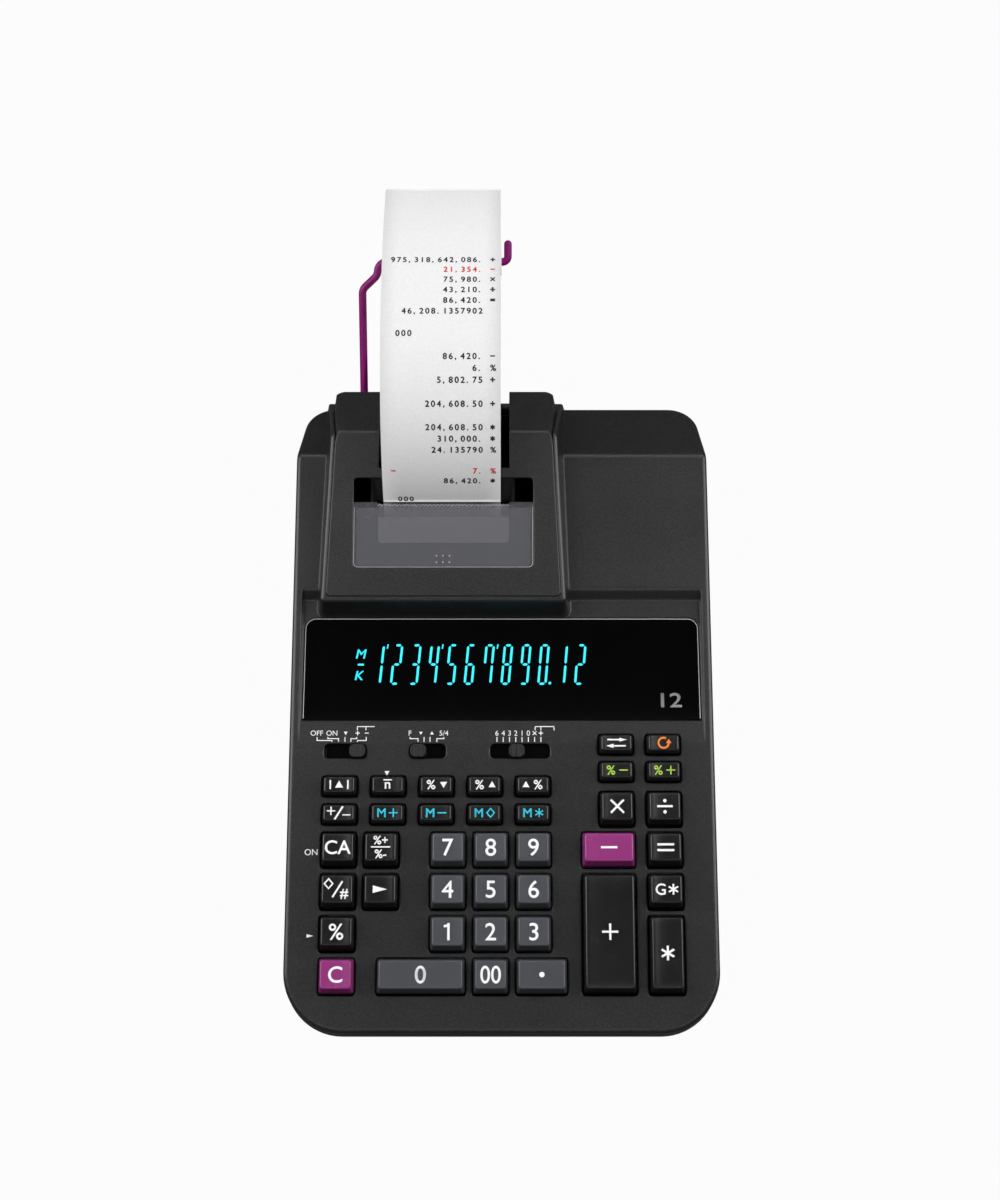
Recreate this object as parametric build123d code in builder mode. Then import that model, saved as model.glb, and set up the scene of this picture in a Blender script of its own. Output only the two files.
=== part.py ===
"""Printing desk calculator: wedge case, keyboard, display and a paper printer under a lift-off cover.

Millimetres, +Z up, front towards -Y. The origin is midway along the depth, on the desk.
"Depth" is measured back from the front edge of the case, "height" up from the desk.
"""
from build123d import *
from math import asin, atan2, cos, degrees, hypot, radians, sin, tan
import os

os.makedirs("parts", exist_ok=True)

# ---- Driving dimensions: case -----------------------------------------------------------
case_width = 206.0
case_length = 308.0
rear_width = 195.0
front_corner = 28.0
rear_corner = 15.0
shoulder_corner = 30.0
wall = 2.4
rim_height = 18.0
panel_slope = 10.7
crest_depth = 277.6
crest_round = 6.0
deck_slope = -12.0
front_split = 8.5
rear_split = 30.0
foot_height = 3.0
lower_draft = 2.0
rim_round = 2.0

# ---- Display recess ---------------------------------------------------------------------
recess_start = 134.0
recess_end = 196.5
recess_rise = 51.8
recess_half = 98.4
recess_corner = 7.0
riser_foot = 205.2
riser_top = 209.4
riser_round = 4.5
window_start = 145.5
window_half = 97.0
window_gap = 0.35
window_thick = 2.4
window_corner = 5.5
tube_centre = -13.0
tube_width = 124.0
tube_length = 30.0
tube_thick = 7.0
tube_margin = 2.0
tube_air = 1.2

# ---- Printer hump and its cover -----------------------------------------------------------
hump_left = -91.0
hump_right = 34.0
hump_base = 52.0
hump_front = 196.6
hump_draft = 10.0
cover_slope = 16.0
cover_low_depth = 201.0
cover_low_height = 67.0
cover_crest = 280.2
ridge_drop = 22.0
cover_rear_slope = -10.0
cover_inset = 2.4
cover_gap = 0.3
cover_wall = 2.0
cover_skirt = 6.0
nose_round = 4.5
lift_round = 2.2
crest_shoulder = 3.5
crest_corner = 6.5
plate_left = -72.7
plate_right = 15.5
plate_front = 214.6
slot_front = 245.4
slot_rear = 258.0
notch_left = -60.8
notch_right = 3.8
notch_front = 262.8
plate_thick = 1.3
plate_corner = 2.0
centre_front = 226.7
centre_step = 0.5
plate_lip = 1.4
plate_gap = 0.2
tooth_pitch = 1.9
tooth_height = 0.9

# ---- Keys -------------------------------------------------------------------------------
seat_gap = 0.1
key_size = 17.1
row_pitch = 19.75
first_row = 25.65
key_rise = 6.0
key_gap = 0.4
key_wall = 1.2
key_corner = 1.3
key_side_run = 1.25
key_front_run = 2.7
key_rear_run = 0.9
small_key_depth = 9.9
small_front_run = 1.2
small_rear_run = 0.7
dish_depth = 0.6
flange_edge = 0.6
flange_thick = 0.9
flange_depth = wall + seat_gap
key_travel = 3.0
stem_size = 5.0
board_drop = 9.5
board_thick = 1.6
mat_thick = 0.8
dome_height = key_travel + 2 * seat_gap
dome_top = 2.6
dome_base = 4.2

# ---- Slide switches ---------------------------------------------------------------------
switch_row = 132.6
switch_slot = 7.3
knob_width = 8.2
knob_gap = 0.3
knob_depth = switch_slot - 2 * knob_gap
knob_rise = 3.0
slot_corner = 2.4
knob_corner = slot_corner - knob_gap
knob_taper = 0.5
knob_ridge = 1.4
slider_thick = 0.8
switch_body = 4.5

# ---- Paper path, printer and roll ---------------------------------------------------------
paper_width = 57.5
paper_left = -58.0
paper_thick = 0.2
paper_gap = 0.3
feed_radius = 6.0
feed_height = 60.0
shaft_radius = 2.0
shaft_gap = 0.05
exit_slope = 72.0
exit_height = 79.6
chute_slope = 40.0
chute_run = 22.0
guide_run = 14.0
lip_round = 2.0
lip_depth = case_length - lip_round
lip_height = 69.0
lip_bend = 8.0
curl_low = 82.0
curl_low_turn = -57.0
curl_high = 146.0
curl_high_turn = -37.9
roll_depth = 380.0
roll_height = 90.0
roll_radius = 28.0
core_radius = 7.0
core_overhang = 0.4
wire_radius = 2.0
wire_bend = 5.0
tip_bend = 2.8
arm_left = -72.0
arm_post = -64.0
arm_tip = 3.2
arm_foot_depth = 314.0
arm_foot_height = 40.0
crank_start = 0.83
crank_end = 0.08
tip_length = 9.0
ink_radius = 6.0
ink_depth = 216.0
ink_height = 54.0
rail_radius = 1.5
rail_depth = 231.5
rail_height = 44.0
carriage_width = 13.0
carriage_depth = 9.0
motor_radius = 9.0
motor_length = 22.0
motor_depth = 232.0
motor_height = 36.0
gear_radius = 7.0
gear_width = 2.5
frame_left = -64.0
frame_right = 5.0
frame_thick = 1.6
frame_edge = 4.5

# ---- Reference planes ---------------------------------------------------------------------
front_y = -(roll_depth + roll_radius) / 2
side = Plane(origin=(0, front_y, 0), x_dir=(0, 1, 0), z_dir=(1, 0, 0))
panel = Plane(
    origin=(0, front_y, rim_height),
    x_dir=(1, 0, 0),
    z_dir=(0, -sin(radians(panel_slope)), cos(radians(panel_slope))),
)
tall = 140.0


def rim(depth):
    """Height of the keyboard plane at a depth."""
    return rim_height + depth * tan(radians(panel_slope))


def cover_line(depth):
    """Height of the printer cover's front slope at a depth."""
    return cover_low_height + (depth - cover_low_depth) * tan(radians(cover_slope))


def split(depth):
    """Height of the joint between the case halves at a depth."""
    return front_split + (rear_split - front_split) * depth / case_length


deck_rear = rim(crest_depth) + (case_length - crest_depth) * tan(radians(deck_slope))
recess_slope = degrees(atan2(recess_rise - rim(recess_start), recess_end - recess_start))
cover_crest_height = cover_line(cover_crest)
recess_plane = Plane(
    origin=(0, front_y + recess_start, rim(recess_start)),
    x_dir=(1, 0, 0),
    z_dir=(0, -sin(radians(recess_slope)), cos(radians(recess_slope))),
)

cover_plane = Plane(
    origin=(0, front_y + cover_low_depth, cover_low_height),
    x_dir=(1, 0, 0),
    z_dir=(0, -sin(radians(cover_slope)), cos(radians(cover_slope))),
)


def up_cover(depth):
    """Distance up the cover's front slope of a point at a depth."""
    return (depth - cover_low_depth) / cos(radians(cover_slope))


# ---- Shapes shared by the case halves, the cover and their clearances ----------------------
def plan_face(inset, level):
    """Case outline seen from above, moved in by inset."""
    half = case_width / 2 - inset
    rear_half = rear_width / 2 - inset
    corners = [front_corner - inset] * 2 + [shoulder_corner, rear_corner - inset]
    corners += [rear_corner - inset, shoulder_corner]
    with BuildSketch(Plane((0, front_y, level))) as plan:
        with BuildLine():
            FilletPolyline(
                (-half, inset),
                (half, inset),
                (half, crest_depth),
                (rear_half, case_length - inset),
                (-rear_half, case_length - inset),
                (-half, crest_depth),
                radius=corners,
                close=True,
            )
        make_face()
    return plan.sketch


def wedge(inset):
    """Wedge body up to the keyboard plane and the rear deck, moved in by inset."""
    with BuildPart() as body:
        add(plan_face(inset, 0))
        extrude(amount=tall)
        with BuildSketch(side) as profile:
            with BuildLine():
                Polyline(
                    (-wall, 0),
                    (-wall, rim(-wall) - inset),
                    (crest_depth, rim(crest_depth) - inset),
                    (case_length + wall, deck_rear + wall * tan(radians(deck_slope)) - inset),
                    (case_length + wall, 0),
                    close=True,
                )
            make_face()
            fillet(profile.vertices().sort_by(Axis.Y)[-1], crest_round)
        extrude(amount=case_width, both=True, mode=Mode.INTERSECT)
    return body.part


def recess(grow, start):
    """Space above the display recess and the riser behind it, grown by a wall."""
    end = riser_top + riser_round + grow
    start_height = rim(recess_start) + (start - recess_start) * tan(radians(recess_slope))
    riser_low = rim(recess_start) + (riser_foot - recess_start) * tan(radians(recess_slope))
    with BuildPart() as space:
        with BuildSketch(Plane((0, front_y, 0))) as plan:
            with BuildLine():
                Polyline(
                    (-recess_half - grow, start),
                    (recess_half + grow, start),
                    (recess_half + grow, end),
                    (-recess_half - grow, end),
                    close=True,
                )
            make_face()
            fillet(plan.vertices().group_by(Axis.Y)[-1], recess_corner + grow)
        extrude(amount=tall)
        with BuildSketch(side) as profile:
            with BuildLine():
                Polyline(
                    (start, start_height - grow),
                    (riser_foot, riser_low - grow),
                    (riser_top, rim(riser_top) - grow),
                    (end, rim(end) - grow),
                    (end, tall),
                    (start, tall),
                    close=True,
                )
            make_face()
            fillet(profile.vertices().sort_by(Axis.X)[2:4], riser_round)
        extrude(amount=case_width, both=True, mode=Mode.INTERSECT)
    return space.part


def tapered_block(inset, profile):
    """Drafted block of the printer hump, moved in by inset and cut to a side profile."""
    lean = tan(radians(hump_draft)) * (cover_crest_height - hump_base)
    with BuildPart() as block:
        with BuildSketch(Plane((0, front_y, hump_base))) as plan:
            with BuildLine():
                Polyline(
                    (hump_left + inset, hump_front + inset),
                    (hump_right - inset, hump_front + inset),
                    (hump_right - inset, case_length + lean - inset),
                    (hump_left + inset, case_length + lean - inset),
                    close=True,
                )
            make_face()
            fillet(plan.vertices(), nose_round)
        extrude(amount=tall - hump_base, taper=hump_draft)
        with BuildSketch(side) as outline:
            with BuildLine():
                Polyline(*profile, close=True)
            make_face()
            fillet(outline.vertices().sort_by(Axis.Y)[-1], crest_round)
        extrude(amount=case_width, both=True, mode=Mode.INTERSECT)
        with BuildSketch(Plane((0, front_y, 0))):
            with BuildLine():
                Polyline(
                    (-case_width, 0),
                    (case_width, 0),
                    (case_width, case_length - inset),
                    (-case_width, case_length - inset),
                    close=True,
                )
            make_face()
        extrude(amount=tall, mode=Mode.INTERSECT)
    return block.part


def ridge_profile(drop):
    """Side profile of the case's hump: cover slope, crest, then down to the deck."""
    return [
        (hump_front - wall, hump_base - wall),
        (hump_front - wall, cover_line(hump_front - wall) - drop),
        (cover_crest, cover_crest_height - drop),
        (case_length + wall, cover_crest_height - ridge_drop - drop),
        (case_length + wall, hump_base - wall),
    ]


def cover_profile(drop):
    """Side profile of the cover: slope, crest, then a gentle fall to the rear."""
    fall = (case_length + wall - cover_crest) * tan(radians(cover_rear_slope))
    return [
        (hump_front - wall, hump_base - wall),
        (hump_front - wall, cover_line(hump_front - wall) - drop),
        (cover_crest, cover_crest_height - drop),
        (case_length + wall, cover_crest_height + fall - drop),
        (case_length + wall, hump_base - wall),
    ]


def ridge_side(depth_along, height, inset):
    """Half outline of the lift space: one point on each side of the hump at a ridge height."""
    lean = tan(radians(hump_draft)) * (height - hump_base)
    return (hump_left + inset + lean, depth_along), (hump_right - inset - lean, depth_along)


def lift_space(inset):
    """Upright space that the cover is lifted out through, moved in by inset from the hump's rim."""
    draft = tan(radians(hump_draft))
    front = hump_front + inset + draft * (cover_line(0) - hump_base)
    front /= 1 - draft * tan(radians(cover_slope))
    front_left, front_right = ridge_side(front, cover_line(front), inset)
    crest_left, crest_right = ridge_side(cover_crest, cover_crest_height, inset)
    rear = case_length - inset
    sink = ridge_drop * (rear - cover_crest) / (case_length + wall - cover_crest)
    rear_left, rear_right = ridge_side(rear, cover_crest_height - sink, inset)
    with BuildPart() as space:
        with BuildSketch(Plane((0, front_y, hump_base))) as plan:
            with BuildLine():
                Polyline(front_left, front_right, crest_right, rear_right)
                Polyline(rear_right, rear_left, crest_left, front_left)
            make_face()
            fillet(plan.vertices().group_by(Axis.Y)[0], lift_round + cover_inset - inset)
            fillet(plan.vertices().group_by(Axis.Y)[-1], crest_corner + cover_inset - inset)
        extrude(amount=tall)
    return space.part


def crest_room(inset):
    """Room under the cover's crest, with rounded shoulders, moved in by inset."""
    drop = inset - cover_inset
    lean = tan(radians(hump_draft)) * (cover_crest_height - hump_base)
    with BuildPart() as room:
        with BuildSketch(Plane((0, front_y, 0), x_dir=(1, 0, 0), z_dir=(0, -1, 0))) as face:
            with BuildLine():
                Polyline(
                    (hump_left + inset, hump_base),
                    (hump_left + inset + lean, cover_crest_height + plate_gap - drop),
                    (hump_right - inset - lean, cover_crest_height + plate_gap - drop),
                    (hump_right - inset, hump_base),
                    close=True,
                )
            make_face()
            fillet(face.vertices().group_by(Axis.Y)[-1], crest_shoulder - drop)
        extrude(amount=-case_length - tall)
    return room.part


def notch_space(grow):
    """Space over the paper inlet, open to the rear."""
    with BuildPart() as space:
        with BuildSketch(Plane((0, front_y, hump_base))):
            with BuildLine():
                Polyline(
                    (notch_left - grow, notch_front - grow),
                    (notch_right + grow, notch_front - grow),
                    (notch_right + grow, case_length + tall),
                    (notch_left - grow, case_length + tall),
                    close=True,
                )
            make_face()
        extrude(amount=tall)
    return space.part


# ---- Keys: name, centre across, centre up the keyboard, width, depth ------------------------
small_rows = (101.9, 115.4)
tax_rows = (122.4, 135.6)
function_columns = (-77.8, -54.6, -31.4, -8.2, 15.0)
left_columns = (-77.8, -57.5)
digit_columns = (-25.6, -5.2, 15.1)
right_columns = (55.2, 77.9)
multiply_row = 104.4
zero_centre, zero_width = -38.0, 42.0
point_centre, point_width = 18.8, 24.5
plus_centre, plus_width = 51.0, 25.7
main_rows = [first_row + row_pitch * row for row in range(4)]
total_depth = key_size + row_pitch
plus_depth = key_size + 2 * row_pitch

keys = [
    ("feed", function_columns[0], small_rows[1], key_size, small_key_depth),
    ("item", function_columns[1], small_rows[1], key_size, small_key_depth),
    ("cost", function_columns[2], small_rows[1], key_size, small_key_depth),
    ("sell", function_columns[3], small_rows[1], key_size, small_key_depth),
    ("margin", function_columns[4], small_rows[1], key_size, small_key_depth),
    ("sign", function_columns[0], small_rows[0], key_size, small_key_depth),
    ("memory_plus", function_columns[1], small_rows[0], key_size, small_key_depth),
    ("memory_minus", function_columns[2], small_rows[0], key_size, small_key_depth),
    ("memory_subtotal", function_columns[3], small_rows[0], key_size, small_key_depth),
    ("memory_total", function_columns[4], small_rows[0], key_size, small_key_depth),
    ("change", right_columns[0], tax_rows[1], key_size, small_key_depth),
    ("reprint", right_columns[1], tax_rows[1], key_size, small_key_depth),
    ("tax_minus", right_columns[0], tax_rows[0], key_size, small_key_depth),
    ("tax_plus", right_columns[1], tax_rows[0], key_size, small_key_depth),
    ("multiply", right_columns[0], multiply_row, key_size, key_size),
    ("divide", right_columns[1], multiply_row, key_size, key_size),
    ("all_clear", left_columns[0], main_rows[3], key_size, key_size),
    ("markup", left_columns[1], main_rows[3], key_size, key_size),
    ("subtotal", left_columns[0], main_rows[2], key_size, key_size),
    ("shift", left_columns[1], main_rows[2], key_size, key_size),
    ("percent", left_columns[0], main_rows[1], key_size, key_size),
    ("clear", left_columns[0], main_rows[0], key_size, key_size),
    ("zero", zero_centre, main_rows[0], zero_width, key_size),
    ("double_zero", digit_columns[1], main_rows[0], key_size, key_size),
    ("point", point_centre, main_rows[0], point_width, key_size),
    ("minus", plus_centre, main_rows[3], plus_width, key_size),
    ("equals", right_columns[1], main_rows[3], key_size, key_size),
    ("plus", plus_centre, main_rows[0] + row_pitch, plus_width, plus_depth),
    ("grand_total", right_columns[1], main_rows[2], key_size, key_size),
    ("total", right_columns[1], main_rows[0] + row_pitch / 2, key_size, total_depth),
]
for digit, word in enumerate(("one", "two", "three", "four", "five", "six", "seven", "eight", "nine")):
    keys.append((word, digit_columns[digit % 3], main_rows[1 + digit // 3], key_size, key_size))

# Switches: name, slot's left and right ends, knob's place at rest (0 left, 1 right), half slider strip
switches = [
    ("mode_switch", -85.9, -65.3, 1.0, 15.0),
    ("rounding_switch", -44.7, -27.0, 0.0, 11.0),
    ("decimal_switch", -5.6, 23.4, 0.42, 16.0),
]


def knob_centre(left, right, place):
    """Centre of a switch knob in its slot."""
    end = knob_width / 2 + knob_gap
    return left + end + place * (right - left - 2 * end)


def upward(builder):
    """Faces of a part that look up."""
    return [face for face in builder.faces() if face.normal_at().Z > 0.7]


def outline_of(faces):
    """Edges on the border of a group of faces."""
    edges = [edge for face in faces for edge in face.edges()]
    return [edge for edge in edges if sum(edge.is_same(other) for other in edges) == 1]


# ---- Case, upper half: keyboard plate, display recess, hump and rear deck --------------------
split_line = [(-wall, split(-wall)), (case_length + wall, split(case_length + wall))]
boss_spots = [(-92, 24), (92, 24), (-94, 152), (94, 152), (-86, 284), (84, 284)]
boss_radius = 4.0
shelf_width = 1.6
shelf_thick = 1.6

with BuildPart() as boss_posts:
    for x, depth in boss_spots:
        with BuildSketch(Plane((x, front_y + depth, foot_height + wall))):
            Circle(boss_radius)
        extrude(amount=tall)
    add(wedge(wall / 2), mode=Mode.INTERSECT)

with BuildPart() as above_split:
    with BuildSketch(side):
        with BuildLine():
            Polyline(*split_line, (case_length + wall, tall), (-wall, tall), close=True)
        make_face()
    extrude(amount=case_width, both=True)

shelf_inset = cover_inset + cover_gap + cover_wall + shelf_width
lug_half = 5.0
lug_width = 5.0
lug_centres = (arm_left + 9.0, arm_left + 34.0)
window_length = (recess_end - window_start) / cos(radians(recess_slope)) - window_gap
window_low = (window_start - recess_start) / cos(radians(recess_slope))
window_mid = window_low + window_length / 2

with BuildPart() as hump:
    add(tapered_block(0, ridge_profile(0)))
    fillet(outline_of(upward(hump)), rim_round)

with BuildPart() as cavity:
    add(wedge(wall))
    add(recess(wall + window_thick, window_start - wall), mode=Mode.SUBTRACT)
    add(tapered_block(wall, ridge_profile(wall)))

with BuildPart() as cover_shelf:
    add(tapered_block(wall / 2, ridge_profile(cover_skirt)))
    add(tapered_block(shelf_inset, cover_profile(-tall)), mode=Mode.SUBTRACT)
    add(tapered_block(0, ridge_profile(cover_skirt + shelf_thick)), mode=Mode.SUBTRACT)

with BuildPart() as cover_opening:
    add(lift_space(cover_inset - cover_gap))
    add(tapered_block(0, ridge_profile(cover_skirt)), mode=Mode.SUBTRACT)

with BuildPart() as upper_case:
    add(wedge(0))
    fillet(outline_of(upward(upper_case)), rim_round)
    add(recess(0, recess_start), mode=Mode.SUBTRACT)
    add(hump.part)
    add(cavity.part, mode=Mode.SUBTRACT)
    add(boss_posts.part)
    add(cover_shelf.part)
    # way in for the cover and the space under it
    add(cover_opening.part, mode=Mode.SUBTRACT)
    add(tapered_block(shelf_inset, cover_profile(-tall)), mode=Mode.SUBTRACT)
    # paper inlet in the rear wall, with a rounded lip
    with BuildSketch(side.offset(notch_left)):
        with BuildLine():
            Polyline(
                (lip_depth - wall, lip_height),
                (case_length + wall, lip_height),
                (case_length + wall, tall),
                (lip_depth - wall, tall),
                close=True,
            )
        make_face()
    extrude(amount=notch_right - notch_left, mode=Mode.SUBTRACT)
    with BuildSketch(side.offset(notch_left)):
        with Locations((lip_depth, lip_height)):
            Circle(lip_round)
    extrude(amount=notch_right - notch_left)
    # key openings
    with BuildSketch(panel.offset(key_gap)):
        for name, x, up, width, depth in keys:
            with Locations((x, up)):
                RectangleRounded(width + 2 * key_gap, depth + 2 * key_gap, key_corner + key_gap)
    extrude(amount=-wall - 2 * key_gap, mode=Mode.SUBTRACT)
    # switch slots
    with BuildSketch(panel.offset(key_gap)):
        for name, left, right, place, cover_half in switches:
            with Locations(((left + right) / 2, switch_row)):
                RectangleRounded(right - left, switch_slot, slot_corner)
    extrude(amount=-wall - 2 * key_gap, mode=Mode.SUBTRACT)
    # window pocket and the opening over the display tube
    with BuildSketch(recess_plane) as pocket:
        with Locations((0, window_mid)):
            Rectangle(2 * window_half + 2 * window_gap, window_length + 2 * window_gap)
        fillet(pocket.vertices().group_by(Axis.Y)[-1], window_corner + window_gap)
    extrude(amount=-window_thick, mode=Mode.SUBTRACT)
    with BuildSketch(recess_plane.offset(-window_thick)):
        with Locations((tube_centre, window_mid)):
            Rectangle(tube_width + 2 * tube_margin, tube_length + 2 * tube_margin)
    extrude(amount=-wall - tube_margin, mode=Mode.SUBTRACT)
    # lower edge along the joint, then the lugs that carry the paper arm
    add(above_split.part, mode=Mode.INTERSECT)
    for centre in lug_centres:
        with BuildSketch(side.offset(centre - lug_width / 2)):
            with BuildLine():
                Polyline(
                    (case_length - wall / 2, arm_foot_height - lug_half),
                    (arm_foot_depth, arm_foot_height - lug_half),
                    (arm_foot_depth, arm_foot_height + lug_half),
                    (case_length - wall / 2, arm_foot_height + 2 * lug_half),
                    close=True,
                )
            make_face()
            with Locations((arm_foot_depth, arm_foot_height)):
                Circle(lug_half)
        extrude(amount=lug_width)
    with BuildSketch(side.offset(arm_left)):
        with Locations((arm_foot_depth, arm_foot_height)):
            Circle(wire_radius + shaft_gap)
    extrude(amount=-2 * arm_left, mode=Mode.SUBTRACT)
upper_case.part.label = "upper_case"
export_step(upper_case.part, "parts/upper_case.step")

# ---- Case, lower half: tray with feet pockets, screw wells, board posts and vents ------------
feet = [(-78, 30), (78, 30), (-78, 282), (78, 282)]
foot_radius = 8.0
foot_seat = 1.0
well_radius = 3.2
screw_radius = 1.6
post_radius = 3.5
post_spots = [(-60, 24), (60, 24), (-88, 90), (88, 90), (-60, 138), (60, 138)]
vent_length = 26.0
vent_width = 2.2
vent_pitch = 5.0
vent_count = 7
vent_centre = (66.0, 190.0)
gland_x = 62.0
gland_height = 16.0
gland_radius = 6.0
gland_bore = 1.9
gland_length = 5.0
level = split(case_length)


def tray(inset, floor):
    """Tapered tray of the lower half, moved in by inset, down to a floor height."""
    with BuildPart() as body:
        add(plan_face(inset, level))
        extrude(amount=floor - level, taper=lower_draft)
        with BuildSketch(side):
            with BuildLine():
                Polyline(*split_line, (case_length + wall, 0), (-wall, 0), close=True)
            make_face()
        extrude(amount=case_width, both=True, mode=Mode.INTERSECT)
    return body.part


with BuildPart() as board_posts:
    for x, up in post_spots:
        with BuildSketch(Plane((x, front_y + up, foot_height + wall / 2))):
            Circle(post_radius)
        extrude(amount=tall)
    with BuildSketch(panel.offset(-board_drop - board_thick)):
        Rectangle(3 * case_width, 3 * case_length)
    extrude(amount=2 * tall, mode=Mode.SUBTRACT)

with BuildPart() as wells:
    for x, depth in boss_spots:
        with BuildSketch(Plane((x, front_y + depth, foot_height))):
            Circle(boss_radius)
        extrude(amount=tall)
    add(tray(wall / 2, foot_height), mode=Mode.INTERSECT)

with BuildPart() as lower_case:
    add(tray(0, foot_height))
    fillet(lower_case.faces().sort_by(Axis.Z)[0].edges(), rim_round)
    add(tray(wall, foot_height + wall), mode=Mode.SUBTRACT)
    add(board_posts.part)
    add(wells.part)
    for x, depth in boss_spots:
        with BuildSketch(Plane((x, front_y + depth, foot_height))):
            Circle(screw_radius)
        extrude(amount=tall, mode=Mode.SUBTRACT)
        with BuildSketch(Plane((x, front_y + depth, foot_height))):
            Circle(well_radius)
        extrude(amount=wall, mode=Mode.SUBTRACT)
    for x, depth in feet:
        with BuildSketch(Plane((x, front_y + depth, foot_height))):
            Circle(foot_radius + seat_gap)
        extrude(amount=foot_seat, mode=Mode.SUBTRACT)
    with BuildSketch(Plane((vent_centre[0], front_y + vent_centre[1], foot_height))):
        with GridLocations(0, vent_pitch, 1, vent_count):
            SlotOverall(vent_length, vent_width)
    extrude(amount=wall, mode=Mode.SUBTRACT)
    with BuildSketch(Plane(origin=(gland_x, front_y + case_length - wall, gland_height),
                           x_dir=(1, 0, 0), z_dir=(0, 1, 0))):
        Circle(gland_radius)
    extrude(amount=wall + gland_length)
    with BuildSketch(Plane(origin=(gland_x, front_y + case_length + gland_length, gland_height),
                           x_dir=(1, 0, 0), z_dir=(0, -1, 0))):
        Circle(gland_bore)
    extrude(amount=gland_length, mode=Mode.SUBTRACT)
lower_case.part.label = "lower_case"
export_step(lower_case.part, "parts/lower_case.step")

with BuildPart() as rubber_feet:
    for x, depth in feet:
        with BuildSketch(Plane((x, front_y + depth, 0))):
            Circle(foot_radius)
        extrude(amount=foot_height + foot_seat)
    chamfer(rubber_feet.edges().group_by(Axis.Z)[0], foot_seat / 2)
rubber_feet.part.label = "rubber_feet"
export_step(rubber_feet.part, "parts/rubber_feet.step")

# ---- Display: smoked window and the tube below it --------------------------------------------
with BuildPart() as display_window:
    with BuildSketch(recess_plane) as pane:
        with Locations((0, window_mid)):
            Rectangle(2 * window_half, window_length)
        fillet(pane.vertices().group_by(Axis.Y)[-1], window_corner)
    extrude(amount=-window_thick + seat_gap)
    chamfer(display_window.faces().sort_by(Axis.Z)[-1].edges(), window_gap)
display_window.part.label = "display_window"
export_step(display_window.part, "parts/display_window.step")

with BuildPart() as display_tube:
    with BuildSketch(recess_plane.offset(-window_thick - tube_air)):
        with Locations((tube_centre, window_mid)):
            Rectangle(tube_width, tube_length)
    extrude(amount=-tube_thick)
    # carrier plate fixed under the case
    with BuildSketch(recess_plane.offset(-window_thick - wall - seat_gap)):
        with Locations((tube_centre, window_mid)):
            Rectangle(tube_width + 8 * tube_margin, tube_length + 8 * tube_margin)
    extrude(amount=-board_thick)
display_tube.part.label = "display_tube"
export_step(display_tube.part, "parts/display_tube.step")

# ---- Printer cover with its paper slot, and the clear tear-off window ------------------------
with BuildPart() as cover_hollow:
    add(tapered_block(cover_inset + cover_wall, cover_profile(cover_wall)))
    add(lift_space(cover_inset + cover_wall), mode=Mode.INTERSECT)
    add(crest_room(cover_inset + cover_wall), mode=Mode.INTERSECT)
    add(notch_space(cover_wall), mode=Mode.SUBTRACT)

with BuildPart() as printer_cover:
    add(tapered_block(cover_inset, cover_profile(0)))
    fillet(outline_of(upward(printer_cover)), plate_gap)
    add(cover_hollow.part, mode=Mode.SUBTRACT)
    add(notch_space(0), mode=Mode.SUBTRACT)
    add(lift_space(cover_inset), mode=Mode.INTERSECT)
    add(crest_room(cover_inset), mode=Mode.INTERSECT)
    add(tapered_block(-wall, ridge_profile(cover_skirt - seat_gap)), mode=Mode.SUBTRACT)
    # paper slot, then the rebate that the clear window lies in
    with BuildSketch(cover_plane):
        with BuildLine():
            FilletPolyline(
                (plate_left + plate_lip, up_cover(plate_front) + plate_lip),
                (plate_right - plate_lip, up_cover(plate_front) + plate_lip),
                (plate_right - plate_lip, up_cover(slot_rear)),
                (plate_left + plate_lip, up_cover(slot_rear)),
                radius=plate_corner,
                close=True,
            )
        make_face()
        with BuildLine():
            FilletPolyline(
                (plate_left, up_cover(slot_front)),
                (plate_right, up_cover(slot_front)),
                (plate_right, up_cover(slot_rear)),
                (plate_left, up_cover(slot_rear)),
                radius=[0, 0, plate_corner, plate_corner],
                close=True,
            )
        make_face()
    extrude(amount=-cover_wall * 2, mode=Mode.SUBTRACT)
    with BuildSketch(cover_plane):
        with BuildLine():
            FilletPolyline(
                (plate_left, up_cover(plate_front)),
                (plate_right, up_cover(plate_front)),
                (plate_right, up_cover(slot_rear)),
                (plate_left, up_cover(slot_rear)),
                radius=plate_corner,
                close=True,
            )
        make_face()
    extrude(amount=-plate_thick, mode=Mode.SUBTRACT)
printer_cover.part.label = "printer_cover"
export_step(printer_cover.part, "parts/printer_cover.step")

tooth_count = int((notch_right - notch_left) / tooth_pitch)
tooth_start = (notch_left + notch_right - tooth_count * tooth_pitch) / 2
cutter = up_cover(slot_front)
teeth = []
for tooth in range(tooth_count):
    teeth.append((tooth_start + tooth * tooth_pitch, cutter - tooth_height))
    teeth.append((tooth_start + (tooth + 0.5) * tooth_pitch, cutter))
teeth.append((tooth_start + tooth_count * tooth_pitch, cutter - tooth_height))

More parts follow.
